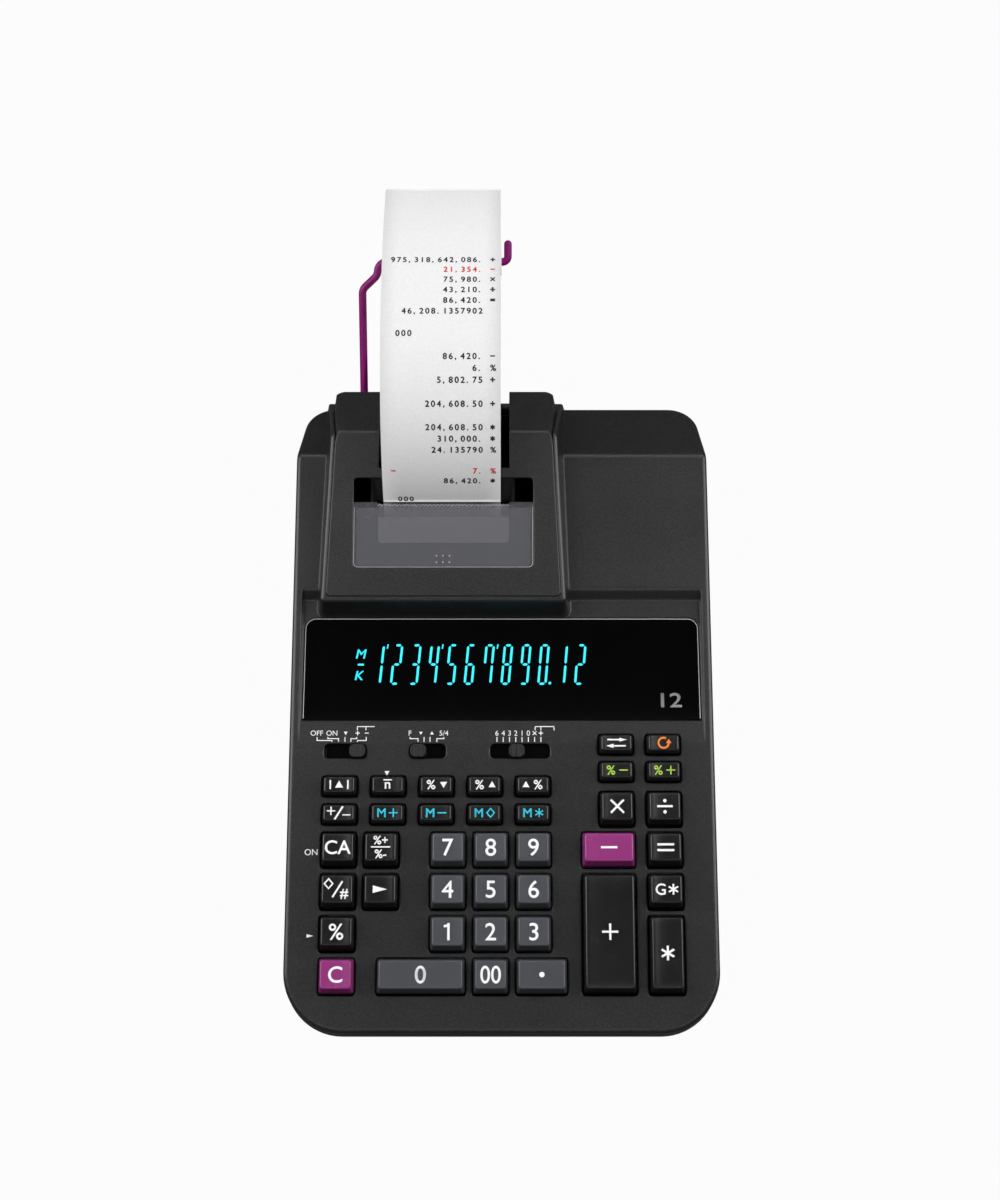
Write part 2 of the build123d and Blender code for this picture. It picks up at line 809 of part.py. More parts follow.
with BuildPart() as tear_window:
    with BuildSketch(cover_plane):
        with BuildLine():
            Polyline(
                *teeth,
                (plate_right - plate_gap, cutter - tooth_height),
                (plate_right - plate_gap, up_cover(plate_front) + plate_gap),
                (plate_left + plate_gap, up_cover(plate_front) + plate_gap),
                (plate_left + plate_gap, cutter - tooth_height),
                close=True,
            )
        make_face()
        for low, high in (
            (plate_left + plate_gap, notch_left),
            (notch_right, plate_right - plate_gap),
        ):
            with Locations(((low + high) / 2, cutter)):
                Rectangle(high - low, 2 * tooth_height)
    extrude(amount=-plate_thick + plate_gap / 2)
    front_corners = tear_window.edges().filter_by(Axis((0, 0, 0), cover_plane.z_dir)).group_by(Axis.Y)[0]
    fillet(front_corners, plate_corner)
    # thinner centre panel behind the cutter
    with BuildSketch(cover_plane):
        with BuildLine():
            FilletPolyline(
                (notch_left, up_cover(centre_front)),
                (notch_right, up_cover(centre_front)),
                (notch_right, cutter + tooth_height),
                (notch_left, cutter + tooth_height),
                radius=[plate_corner, plate_corner, 0, 0],
                close=True,
            )
        make_face()
    extrude(amount=-centre_step, mode=Mode.SUBTRACT)
tear_window.part.label = "tear_window"
export_step(tear_window.part, "parts/tear_window.step")

# ---- Keys: dished caps with drafted skirts, a retaining flange and a stem --------------------
stem_end = board_drop - mat_thick - dome_height
flange_grow = 2 * (flange_edge + key_gap)
for name, x, up, width, depth in keys:
    front_run = key_front_run if depth >= key_size else small_front_run
    rear_run = key_rear_run if depth >= key_size else small_rear_run
    top_width = width - 2 * key_side_run
    top_depth = depth - front_run - rear_run
    top_shift = (front_run - rear_run) / 2
    dish = (top_width**2 / 4 + dish_depth**2) / (2 * dish_depth)
    with BuildPart() as key:
        with BuildSketch(panel.offset(-seat_gap)):
            with Locations((x, up)):
                RectangleRounded(width, depth, key_corner)
        with BuildSketch(panel.offset(key_rise)):
            with Locations((x, up + top_shift)):
                RectangleRounded(top_width, top_depth, key_corner)
        loft()
        with BuildSketch(panel.offset(-flange_depth)) as skirt:
            with Locations((x, up)):
                Rectangle(width, depth)
            chamfer(skirt.vertices(), key_corner / 2)
        extrude(amount=flange_depth - seat_gap)
        with BuildSketch(panel.offset(-flange_depth)):
            with Locations((x, up)):
                Rectangle(width + flange_grow, depth + flange_grow)
        extrude(amount=-flange_thick)
        # dished top
        centre = panel.from_local_coords(Vector(x, up, key_rise - dish_depth + dish))
        with BuildSketch(Plane(origin=centre, x_dir=(1, 0, 0), z_dir=panel.y_dir)):
            Circle(dish)
        extrude(amount=depth, both=True, mode=Mode.SUBTRACT)
        # hollow underside, with the stem left standing
        with BuildSketch(panel.offset(-flange_depth - flange_thick)):
            with Locations((x, up)):
                Rectangle(width - 2 * key_wall, depth - 2 * key_wall)
            with Locations((x, up)):
                Rectangle(stem_size, stem_size, mode=Mode.SUBTRACT)
        extrude(amount=flange_depth + flange_thick + key_wall, mode=Mode.SUBTRACT)
        with BuildSketch(panel.offset(-flange_depth - flange_thick)):
            with Locations((x, up)):
                Rectangle(stem_size, stem_size)
        extrude(amount=flange_depth + flange_thick + seat_gap / 2 - stem_end)
    key.part.label = f"key_{name}"
    export_step(key.part, f"parts/key_{name}.step")

# ---- Slide switch knobs: two ridges on a cap, over a slider strip under the case -------------
for name, left, right, place, cover_half in switches:
    rest = knob_centre(left, right, place)
    with BuildPart() as knob:
        with BuildSketch(panel.offset(-wall - seat_gap)):
            with Locations((rest, switch_row)):
                RectangleRounded(knob_width, knob_depth, knob_corner)
        with BuildSketch(panel.offset(knob_rise)):
            with Locations((rest, switch_row)):
                RectangleRounded(knob_width - 2 * knob_taper, knob_depth - knob_taper, knob_corner)
        loft()
        with BuildSketch(panel.offset(knob_rise)):
            with Locations((rest - knob_ridge, switch_row), (rest + knob_ridge, switch_row)):
                Rectangle(knob_ridge / 2, switch_slot)
        extrude(amount=-knob_ridge / 2, mode=Mode.SUBTRACT)
        with BuildSketch(panel.offset(-wall - seat_gap)):
            with Locations((rest, switch_row)):
                Rectangle(2 * cover_half, switch_slot + 2 * knob_taper + 2 * flange_edge)
        extrude(amount=-slider_thick)
        with BuildSketch(panel.offset(-wall - seat_gap - slider_thick)):
            with Locations((rest, switch_row)):
                Rectangle(stem_size / 2, stem_size / 2)
        extrude(amount=-(board_drop - switch_body - wall - 2 * seat_gap - slider_thick))
    knob.part.label = f"{name}_knob"
    export_step(knob.part, f"parts/{name}_knob.step")

# ---- Main board under the keyboard, with the three switch bodies soldered on it --------------
board_low = 8.0
board_high = 142.0
board_half = 95.0
with BuildPart() as main_board:
    with BuildSketch(panel.offset(-board_drop)):
        with Locations((0, (board_low + board_high) / 2)):
            RectangleRounded(2 * board_half, board_high - board_low, front_corner - wall)
        for x, depth in boss_spots[:4]:
            up = (depth - board_drop * sin(radians(panel_slope))) / cos(radians(panel_slope))
            with Locations((x, up)):
                Circle(boss_radius + 2 * knob_gap, mode=Mode.SUBTRACT)
    extrude(amount=-board_thick)
    with BuildSketch(panel.offset(-board_drop)):
        for name, left, right, place, cover_half in switches:
            with Locations(((left + right) / 2, switch_row)):
                Rectangle(right - left, switch_slot)
    extrude(amount=switch_body)
main_board.part.label = "main_board"
export_step(main_board.part, "parts/main_board.step")

# ---- Rubber mat: one dome under the stem of every key ----------------------------------------
mat_low = first_row - key_size / 2
mat_high = tax_rows[1] + small_key_depth / 2
mat_step = switch_row - switch_slot
with BuildPart() as key_mat:
    with BuildSketch(panel.offset(-board_drop)):
        with Locations(((left_columns[0] + right_columns[1]) / 2, (mat_low + mat_step) / 2)):
            Rectangle(right_columns[1] - left_columns[0] + key_size, mat_step - mat_low)
        with Locations(((right_columns[0] + right_columns[1]) / 2, (mat_low + mat_high) / 2)):
            Rectangle(right_columns[1] - right_columns[0] + key_size, mat_high - mat_low)
    extrude(amount=mat_thick)
    for name, x, up, width, depth in keys:
        with BuildSketch(panel.offset(-board_drop + mat_thick)):
            with Locations((x, up)):
                Circle(dome_base)
        with BuildSketch(panel.offset(-board_drop + mat_thick + dome_height)):
            with Locations((x, up)):
                Circle(dome_top)
        loft()
key_mat.part.label = "key_mat"
export_step(key_mat.part, "parts/key_mat.step")

# ---- Transformer on the case floor -----------------------------------------------------------
transformer_spot = (64.0, 248.0)
core_size = (50.0, 18.0, 42.0)
coil_size = (34.0, 40.0, 28.0)
with BuildPart() as transformer:
    core_height = foot_height + wall + core_size[2] / 2
    with Locations((transformer_spot[0], front_y + transformer_spot[1], core_height)):
        Box(*core_size)
        Box(*coil_size)
    vertical = transformer.edges().filter_by(Axis.Z)
    fillet(vertical, knob_corner)
transformer.part.label = "transformer"
export_step(transformer.part, "parts/transformer.step")

# ---- Paper path: off the roll, over the lip, down the chute, round the feed roller and out ---
wrap = feed_radius + paper_gap
exit_depth = slot_front + plate_thick
exit_tilt = radians(exit_slope)
chute_tilt = radians(chute_slope)
exit_rise = exit_height - feed_height - wrap * cos(exit_tilt)
feed_depth = exit_depth - exit_rise / tan(exit_tilt) + wrap * sin(exit_tilt)
chute_start = (
    feed_depth + wrap * sin(chute_tilt) + chute_run * cos(chute_tilt),
    feed_height - wrap * cos(chute_tilt) + chute_run * sin(chute_tilt),
)
lip_top = (lip_depth, lip_height + lip_round + paper_gap)
roll_away = hypot(roll_depth - lip_depth, roll_height - lip_top[1])
roll_line = atan2(roll_height - lip_top[1], roll_depth - lip_depth)
roll_line -= asin((roll_radius + paper_gap) / roll_away)
roll_reach = (roll_away**2 - (roll_radius + paper_gap) ** 2) ** 0.5
roll_touch = (lip_top[0] + roll_reach * cos(roll_line), lip_top[1] + roll_reach * sin(roll_line))
corner_run = wrap / tan((exit_tilt - chute_tilt) / 2)
feed_corner = (
    feed_depth + wrap * sin(chute_tilt) - corner_run * cos(chute_tilt),
    feed_height - wrap * cos(chute_tilt) - corner_run * sin(chute_tilt),
)

with BuildPart() as paper_tape:
    with BuildSketch(side.offset(paper_left)):
        with BuildLine():
            path = FilletPolyline(
                roll_touch,
                lip_top,
                chute_start,
                feed_corner,
                (exit_depth, exit_height),
                radius=[lip_bend, lip_bend, wrap],
            )
            rise = JernArc(path @ 1, path % 1, curl_low, curl_low_turn)
            JernArc(rise @ 1, rise % 1, curl_high, curl_high_turn)
        trace(line_width=paper_thick)
    extrude(amount=paper_width)
paper_tape.part.label = "paper_tape"
export_step(paper_tape.part, "parts/paper_tape.step")

# ---- Paper roll on its core ------------------------------------------------------------------
with BuildPart() as paper_roll:
    with BuildSketch(side.offset(paper_left)):
        with Locations((roll_depth, roll_height)):
            Circle(roll_radius)
            Circle(core_radius, mode=Mode.SUBTRACT)
    extrude(amount=paper_width)
    with BuildSketch(side.offset(paper_left - core_overhang)):
        with Locations((roll_depth, roll_height)):
            Circle(core_radius)
            Circle(wire_radius + shaft_gap, mode=Mode.SUBTRACT)
    extrude(amount=paper_width + 2 * core_overhang)
paper_roll.part.label = "paper_roll"
export_step(paper_roll.part, "parts/paper_roll.step")

# ---- Wire arm: foot bar in the lugs, leg, crank, and the axle bar with its upturned tip ------
lean = Vector(0, roll_depth - arm_foot_depth, roll_height - arm_foot_height)
foot_point = Vector(arm_left, front_y + arm_foot_depth, arm_foot_height)
axle_point = Vector(arm_post, front_y + roll_depth, roll_height)
crank_low = foot_point + lean * crank_start
crank_high = axle_point - lean * crank_end
tip_turn = Vector(arm_tip, axle_point.Y, axle_point.Z)
arm_points = [
    Vector(lug_centres[1] + lug_width, foot_point.Y, foot_point.Z),
    foot_point,
    crank_low,
    crank_high,
    axle_point,
    tip_turn,
    tip_turn + lean.normalized() * tip_length,
]
with BuildPart() as roll_arm:
    with BuildLine() as wire_path:
        FilletPolyline(*arm_points, radius=[wire_bend] * 4 + [tip_bend])
    with BuildSketch(Plane(origin=wire_path.line @ 0, z_dir=wire_path.line % 0)):
        Circle(wire_radius)
    sweep()
    with Locations(arm_points[0], arm_points[-1]):
        Sphere(wire_radius)
roll_arm.part.label = "roll_arm"
export_step(roll_arm.part, "parts/roll_arm.step")

# ---- Printer: side frame, feed roller, print carriage on its rail, ink roll and motor --------
frame_low = foot_height + wall
plates = (frame_left, frame_right)
guide_top = chute_start[1] - 2 * paper_gap
guide_end = chute_start[0] - guide_run * cos(chute_tilt)
guide_fall = guide_run * sin(chute_tilt)
with BuildPart() as printer_frame:
    for inner in plates:
        outward = -frame_thick if inner == frame_left else frame_thick
        with BuildSketch(side.offset(inner)):
            with BuildLine():
                Polyline(
                    (ink_depth - frame_edge, frame_low),
                    (chute_start[0], frame_low),
                    (chute_start[0], chute_start[1] - 2 * paper_gap),
                    (feed_depth + frame_edge, feed_height + frame_edge),
                    (feed_depth - frame_edge, feed_height + frame_edge),
                    (ink_depth - frame_edge, ink_height + frame_edge / 2),
                    close=True,
                )
            make_face()
            with Locations((feed_depth, feed_height)):
                Circle(shaft_radius + shaft_gap, mode=Mode.SUBTRACT)
            with Locations((ink_depth, ink_height)):
                Circle(shaft_radius + shaft_gap, mode=Mode.SUBTRACT)
            with Locations((motor_depth, motor_height)):
                Circle(shaft_radius, mode=Mode.SUBTRACT)
        extrude(amount=outward)
    # floor tie and the guide plate under the paper chute
    with BuildSketch(side.offset(frame_left)):
        with BuildLine():
            Polyline(
                (ink_depth - frame_edge, frame_low),
                (chute_start[0], frame_low),
                (chute_start[0], frame_low + frame_thick),
                (ink_depth - frame_edge, frame_low + frame_thick),
                close=True,
            )
        make_face()
        with BuildLine():
            Polyline(
                (chute_start[0], guide_top),
                (chute_start[0], guide_top - 2 * frame_thick),
                (guide_end, guide_top - 2 * frame_thick - guide_fall),
                (guide_end, guide_top - guide_fall),
                close=True,
            )
        make_face()
        with Locations((rail_depth, rail_height)):
            Circle(rail_radius)
    extrude(amount=frame_right - frame_left)
printer_frame.part.label = "printer_frame"
export_step(printer_frame.part, "parts/printer_frame.step")

with BuildPart() as feed_roller:
    with BuildSketch(side.offset(paper_left + paper_gap)):
        with Locations((feed_depth, feed_height)):
            Circle(feed_radius)
    extrude(amount=paper_width - 2 * paper_gap)
    with BuildSketch(side.offset(frame_left - 2 * frame_thick)):
        with Locations((feed_depth, feed_height)):
            Circle(shaft_radius)
    extrude(amount=frame_right - frame_left + 5 * frame_thick)
    with BuildSketch(side.offset(frame_right + frame_thick + shaft_gap)):
        with Locations((feed_depth, feed_height)):
            Circle(gear_radius)
    extrude(amount=gear_width)
feed_roller.part.label = "feed_roller"
export_step(feed_roller.part, "parts/feed_roller.step")

with BuildPart() as ink_roll:
    with BuildSketch(side.offset(paper_left + paper_gap)):
        with Locations((ink_depth, ink_height)):
            Circle(ink_radius)
    extrude(amount=paper_width - 2 * paper_gap)
    with BuildSketch(side.offset(frame_left - 2 * frame_thick)):
        with Locations((ink_depth, ink_height)):
            Circle(shaft_radius)
    extrude(amount=frame_right - frame_left + 4 * frame_thick)
ink_roll.part.label = "ink_roll"
export_step(ink_roll.part, "parts/ink_roll.step")

carriage_left = frame_left + frame_thick
with BuildPart() as print_carriage:
    with BuildSketch(side.offset(carriage_left)):
        with Locations((rail_depth, rail_height)):
            Rectangle(carriage_depth, carriage_depth)
            Circle(rail_radius + shaft_gap, mode=Mode.SUBTRACT)
        with Locations((rail_depth, rail_height + carriage_depth)):
            Rectangle(carriage_depth / 2, carriage_depth)
    extrude(amount=carriage_width)
    with BuildSketch(side.offset(carriage_left + carriage_width / 4)):
        with Locations((rail_depth, rail_height + 1.5 * carriage_depth)):
            Circle(carriage_depth / 2)
    extrude(amount=carriage_width / 2)
print_carriage.part.label = "print_carriage"
export_step(print_carriage.part, "parts/print_carriage.step")

with BuildPart() as printer_motor:
    with BuildSketch(side.offset(frame_right + frame_thick + seat_gap)):
        with Locations((motor_depth, motor_height)):
            Circle(motor_radius)
    extrude(amount=motor_length)
    chamfer(printer_motor.faces().sort_by(Axis.X)[-1].edges(), motor_radius / 6)
    with BuildSketch(side.offset(frame_right)):
        with Locations((motor_depth, motor_height)):
            Circle(shaft_radius - shaft_gap)
    extrude(amount=frame_thick + 2 * seat_gap)
printer_motor.part.label = "printer_motor"
export_step(printer_motor.part, "parts/printer_motor.step")
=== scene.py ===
import math
import bpy
import numpy as np
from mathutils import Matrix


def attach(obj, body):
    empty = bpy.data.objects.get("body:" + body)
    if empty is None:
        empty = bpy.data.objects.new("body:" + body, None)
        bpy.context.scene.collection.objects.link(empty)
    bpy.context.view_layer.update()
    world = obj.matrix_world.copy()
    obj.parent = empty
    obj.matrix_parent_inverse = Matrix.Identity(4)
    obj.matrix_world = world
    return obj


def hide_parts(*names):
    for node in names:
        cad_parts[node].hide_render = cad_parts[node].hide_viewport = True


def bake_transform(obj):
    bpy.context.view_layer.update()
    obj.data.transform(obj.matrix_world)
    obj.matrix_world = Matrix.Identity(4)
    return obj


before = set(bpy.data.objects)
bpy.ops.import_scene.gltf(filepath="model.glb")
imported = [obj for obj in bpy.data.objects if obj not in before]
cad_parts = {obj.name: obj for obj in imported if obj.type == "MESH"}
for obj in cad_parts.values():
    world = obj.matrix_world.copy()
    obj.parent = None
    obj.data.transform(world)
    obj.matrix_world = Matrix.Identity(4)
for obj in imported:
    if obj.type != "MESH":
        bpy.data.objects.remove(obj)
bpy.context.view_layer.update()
mm = 0.001
print("frame loaded", len(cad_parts), "nodes")

# reference planes: where each starts (mm from the origin) and how steeply it climbs to the rear
frontEdge = -204.0
keyboard = dict(y=frontEdge, z=18.0, slope=10.7)
recess = dict(y=frontEdge + 134.0, z=43.32, slope=7.727)
coverTop = dict(y=frontEdge + 201.0, z=67.0, slope=16.0)


# helpers for meshes
def onPlane(plane, across, up, off):
    # point = plane's start + up along its slope + off along its normal, worked out as whole arrays
    turn = math.radians(plane["slope"])
    across, up, off = np.broadcast_arrays(np.asarray(across, float), up, off)
    depth = plane["y"] + up * math.cos(turn) - off * math.sin(turn)
    height = plane["z"] + up * math.sin(turn) + off * math.cos(turn)
    return np.stack([across, depth, height], -1) * mm


def gridFaces(rows, columns, closed=False):
    # quads between neighbouring rows and columns of a grid; closed joins the last column to the first
    r = np.arange(rows - 1)[:, None] * columns
    c = np.arange(columns if closed else columns - 1)[None, :]
    right = (c + 1) % columns
    return np.stack([r + c, r + right, r + columns + right, r + columns + c], -1).reshape(-1, 4).tolist()


def makePiece(name, points, faces, finish, body, smooth=True):
    mesh = bpy.data.meshes.new(name)
    mesh.from_pydata(np.asarray(points).reshape(-1, 3).tolist(), [], faces)
    mesh.update()
    mesh.polygons.foreach_set("use_smooth", np.full(len(mesh.polygons), smooth))
    mesh.materials.append(finish)
    piece = bpy.data.objects.new(name, mesh)
    bpy.context.scene.collection.objects.link(piece)
    if body:
        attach(piece, body)
    return piece


def flatPiece(name, plane, shape, off, finish, body):
    # a flat shape, off mm above a reference plane
    points, faces = shape
    points = onPlane(plane, points[:, 0], points[:, 1], off)
    return makePiece(name, points, faces, finishes[finish], body, False)


def joinShapes(shapes):
    # several (points, faces) pairs as one, each one's faces counted on from the last one's points
    points = np.concatenate([shape[0] for shape in shapes])
    starts = np.cumsum([0] + [len(shape[0]) for shape in shapes[:-1]])
    faces = [[corner + int(start) for corner in face] for shape, start in zip(shapes, starts)
             for face in shape[1]]
    return points, faces


def ribbon(line, width, closed=False):
    # flat band along a line of plane points: each point moves half the width along the mitred normal
    line = np.asarray(line, float)
    ahead = np.roll(line, -1, 0) - line
    behind = line - np.roll(line, 1, 0)
    if not closed:
        ahead[-1] = behind[-1]
        behind[0] = ahead[0]
    ahead /= np.linalg.norm(ahead, axis=1)[:, None]
    behind /= np.linalg.norm(behind, axis=1)[:, None]
    middle = ahead + behind
    middle /= np.linalg.norm(middle, axis=1)[:, None]
    side = np.stack([-middle[:, 1], middle[:, 0]], -1)
    reach = width / 2 / np.maximum((middle * ahead).sum(1), 0.4)
    points = np.concatenate([line + side * reach[:, None], line - side * reach[:, None]])
    count = len(line)
    i = np.arange(count if closed else count - 1)
    j = (i + 1) % count
    return points, np.stack([i + count, j + count, j, i], -1).tolist()


def quarterArc(radius, start, count):
    # count points on a quarter circle about the origin, from the start angle on
    turn = np.radians(np.linspace(start, start + 90, count))
    return np.stack([radius * np.cos(turn), radius * np.sin(turn)], -1)


def disc(x, y, radius, count=20):
    turn = np.linspace(0, 2 * math.pi, count, endpoint=False)
    points = np.stack([x + radius * np.cos(turn), y + radius * np.sin(turn)], -1)
    return points, [list(range(count))]


def bar(x, y, width, height):
    half = np.array([[-1, -1], [1, -1], [1, 1], [-1, 1]]) / 2
    return half * (width, height) + (x, y), [[0, 1, 2, 3]]


# flat lettering: digits and plain signs only
def glyphShape(text):
    # outline of a string in Blender's own typeface, filled
    curve = bpy.data.curves.new("glyph", "FONT")
    curve.body = text
    curve.resolution_u = 6
    holder = bpy.data.objects.new("glyph", curve)
    mesh = bpy.data.meshes.new_from_object(holder)
    points = np.empty(len(mesh.vertices) * 3)
    mesh.vertices.foreach_get("co", points)
    faces = [list(face.vertices) for face in mesh.polygons]
    bpy.data.objects.remove(holder)
    bpy.data.curves.remove(curve)
    bpy.data.meshes.remove(mesh)
    return points.reshape(-1, 3)[:, :2], faces


digitHeight = np.ptp(glyphShape("8")[0][:, 1])
digitFoot = glyphShape("H")[0][:, 1].min()


def thicken(shape, amount):
    # a heavier stroke: copies of the shape, each moved by the amount in one of four directions, overlap
    points, faces = shape
    steps = np.array([(1, 0), (-1, 0), (0, 1), (0, -1)]) * amount
    return joinShapes([(points + step, faces) for step in steps])


def lettering(text, height, x=0.0, y=0.0, weight=0.0, squeeze=1.0):
    # a string centred on (x, y), its digits height tall and its strokes heavier by twice the weight
    points, faces = glyphShape(text)
    points = points * height / digitHeight
    middle = (points.max(0) + points.min(0)) / 2
    shape = (points - middle) * (squeeze, 1) + (x, y), faces
    return thicken(shape, weight) if weight else shape


def triangle(*corners):
    return np.array(corners), [[0, 1, 2]]


def signShape(sign, size, x=0.0, y=0.0, stroke=0.13):
    # signs drawn as bars, discs and bands, size across
    w = size * stroke
    h = size / 2
    if sign == "plus":
        return joinShapes([bar(x, y, size, w), bar(x, y + h / 2 + w / 4, w, h - w / 2),
                           bar(x, y - h / 2 - w / 4, w, h - w / 2)])
    if sign == "equals":
        return joinShapes([bar(x, y + size * 0.17, size, w), bar(x, y - size * 0.17, size, w)])
    if sign == "times":
        d = h * 0.82
        return joinShapes([ribbon([(x - d, y - d * way), (x + d, y + d * way)], w) for way in (1, -1)])
    if sign == "divide":
        return joinShapes([bar(x, y, size, w), disc(x, y + size * 0.36, w * 0.85),
                           disc(x, y - size * 0.36, w * 0.85)])
    if sign == "star":
        arms = []
        for turn in (0, 60, 120):
            a = math.radians(turn + 90)
            arms.append(ribbon([(x - h * math.cos(a), y - h * math.sin(a)),
                                (x + h * math.cos(a), y + h * math.sin(a))], w))
        return joinShapes(arms)
    if sign == "diamond":
        return ribbon([(x, y - h), (x + h * 0.86, y), (x, y + h), (x - h * 0.86, y)], w, True)
    if sign == "right":
        return triangle((x - h, y - h * 0.52), (x + h, y), (x - h, y + h * 0.52))
    if sign == "up":
        return triangle((x - h * 0.8, y - h * 0.6), (x + h * 0.8, y - h * 0.6), (x, y + h * 0.8))
    if sign == "down":
        return triangle((x, y - h * 0.8), (x + h * 0.8, y + h * 0.6), (x - h * 0.8, y + h * 0.6))
    if sign == "one":
        flag = ribbon([(x + w * 0.9, y + h - w * 0.75), (x - size * 0.2, y + h * 0.62)], w)
        return joinShapes([bar(x + w * 0.5, y, w, size), flag])
    if sign == "slash":
        return ribbon([(x - h * 0.62, y - h), (x + h * 0.62, y + h)], w)
    if sign == "again":
        turn = np.radians(np.linspace(60, 360, 22))
        reach = h * 0.8
        loop = ribbon(np.stack([x + reach * np.cos(turn), y + reach * np.sin(turn)], -1), w)
        tip = triangle((x + reach - w * 1.5, y - w * 0.2), (x + reach + w * 1.5, y - w * 0.2),
                       (x + reach, y + w * 2.0))
        return joinShapes([loop, tip])
    # what is left is the minus
    return bar(x, y, size, w)


# materials
def srgb(code):
    # sRGB hex to the linear values that the shader takes
    part = np.array([int(code[i:i + 2], 16) / 255 for i in (1, 3, 5)])
    linear = np.where(part <= 0.04045, part / 12.92, ((part + 0.055) / 1.055) ** 2.4)
    return (*linear.tolist(), 1.0)


def addNode(tree, kind, inputs=None, **settings):
    # one node with its settings; an input that is a socket is linked, anything else is set
    node = tree.nodes.new(kind)
    for key, value in settings.items():
        setattr(node, key, value)
    for key, value in (inputs or {}).items():
        if isinstance(value, bpy.types.NodeSocket):
            tree.links.new(value, node.inputs[key])
        else:
            node.inputs[key].default_value = value
    return node


def newFinish(name):
    finish = bpy.data.materials.new(name)
    finish.use_nodes = True
    tree = finish.node_tree
    tree.nodes.clear()
    return finish, tree


def closeFinish(tree, shader):
    addNode(tree, "ShaderNodeOutputMaterial", {"Surface": shader})


def grain(tree, sizeMm, detail=2.0):
    # even noise whose cells are sizeMm across, in the object's own metres
    place = addNode(tree, "ShaderNodeTexCoord").outputs["Object"]
    noise = {"Vector": place, "Scale": 1 / (sizeMm * mm), "Detail": detail, "Roughness": 0.55}
    return addNode(tree, "ShaderNodeTexNoise", noise).outputs["Fac"]


def blendColours(tree, amount, low, high, start=0.35, stop=0.65):
    ramp = addNode(tree, "ShaderNodeValToRGB", {"Fac": amount})
    ramp.color_ramp.elements[0].position = start
    ramp.color_ramp.elements[0].color = srgb(low)
    ramp.color_ramp.elements[1].position = stop
    ramp.color_ramp.elements[1].color = srgb(high)
    return ramp.outputs["Color"]


def mouldedPlastic(name, low, high, roughness, grainMm, grainHeight, roundMm=0.0, specular=0.5):
    # injection-moulded plastic: its fine grain breaks the highlight into a soft sheen, and with roundMm
    # its edges catch a thin light line
    finish, tree = newFinish(name)
    fine = grain(tree, grainMm)
    broad = grain(tree, grainMm * 30, 1.0)
    colour = blendColours(tree, fine, low, high)
    rough = addNode(tree, "ShaderNodeMapRange", {"Value": broad, "To Min": roughness - 0.04,
                                                 "To Max": roughness + 0.04})
    bump = addNode(tree, "ShaderNodeBump", {"Height": fine, "Strength": 1.0, "Distance": grainHeight * mm})
    if roundMm > 0:
        edge = addNode(tree, "ShaderNodeBevel", {"Radius": roundMm * mm}, samples=6)
        tree.links.new(edge.outputs["Normal"], bump.inputs["Normal"])
    shader = addNode(tree, "ShaderNodeBsdfPrincipled", {
        "Base Color": colour, "Roughness": rough.outputs["Result"], "Normal": bump.outputs["Normal"],
        "IOR": 1.5, "Specular IOR Level": specular})
    closeFinish(tree, shader.outputs["BSDF"])
    return finish


def printedInk(name, code, roughness=0.5, glow=0.0):
    # printed ink, or any thin, even film of one colour
    finish, tree = newFinish(name)
    colour = blendColours(tree, grain(tree, 0.6), code, code)
    shader = addNode(tree, "ShaderNodeBsdfPrincipled", {
        "Base Color": colour, "Roughness": roughness, "Emission Color": srgb(code),
        "Emission Strength": glow})
    closeFinish(tree, shader.outputs["BSDF"])
    return finish


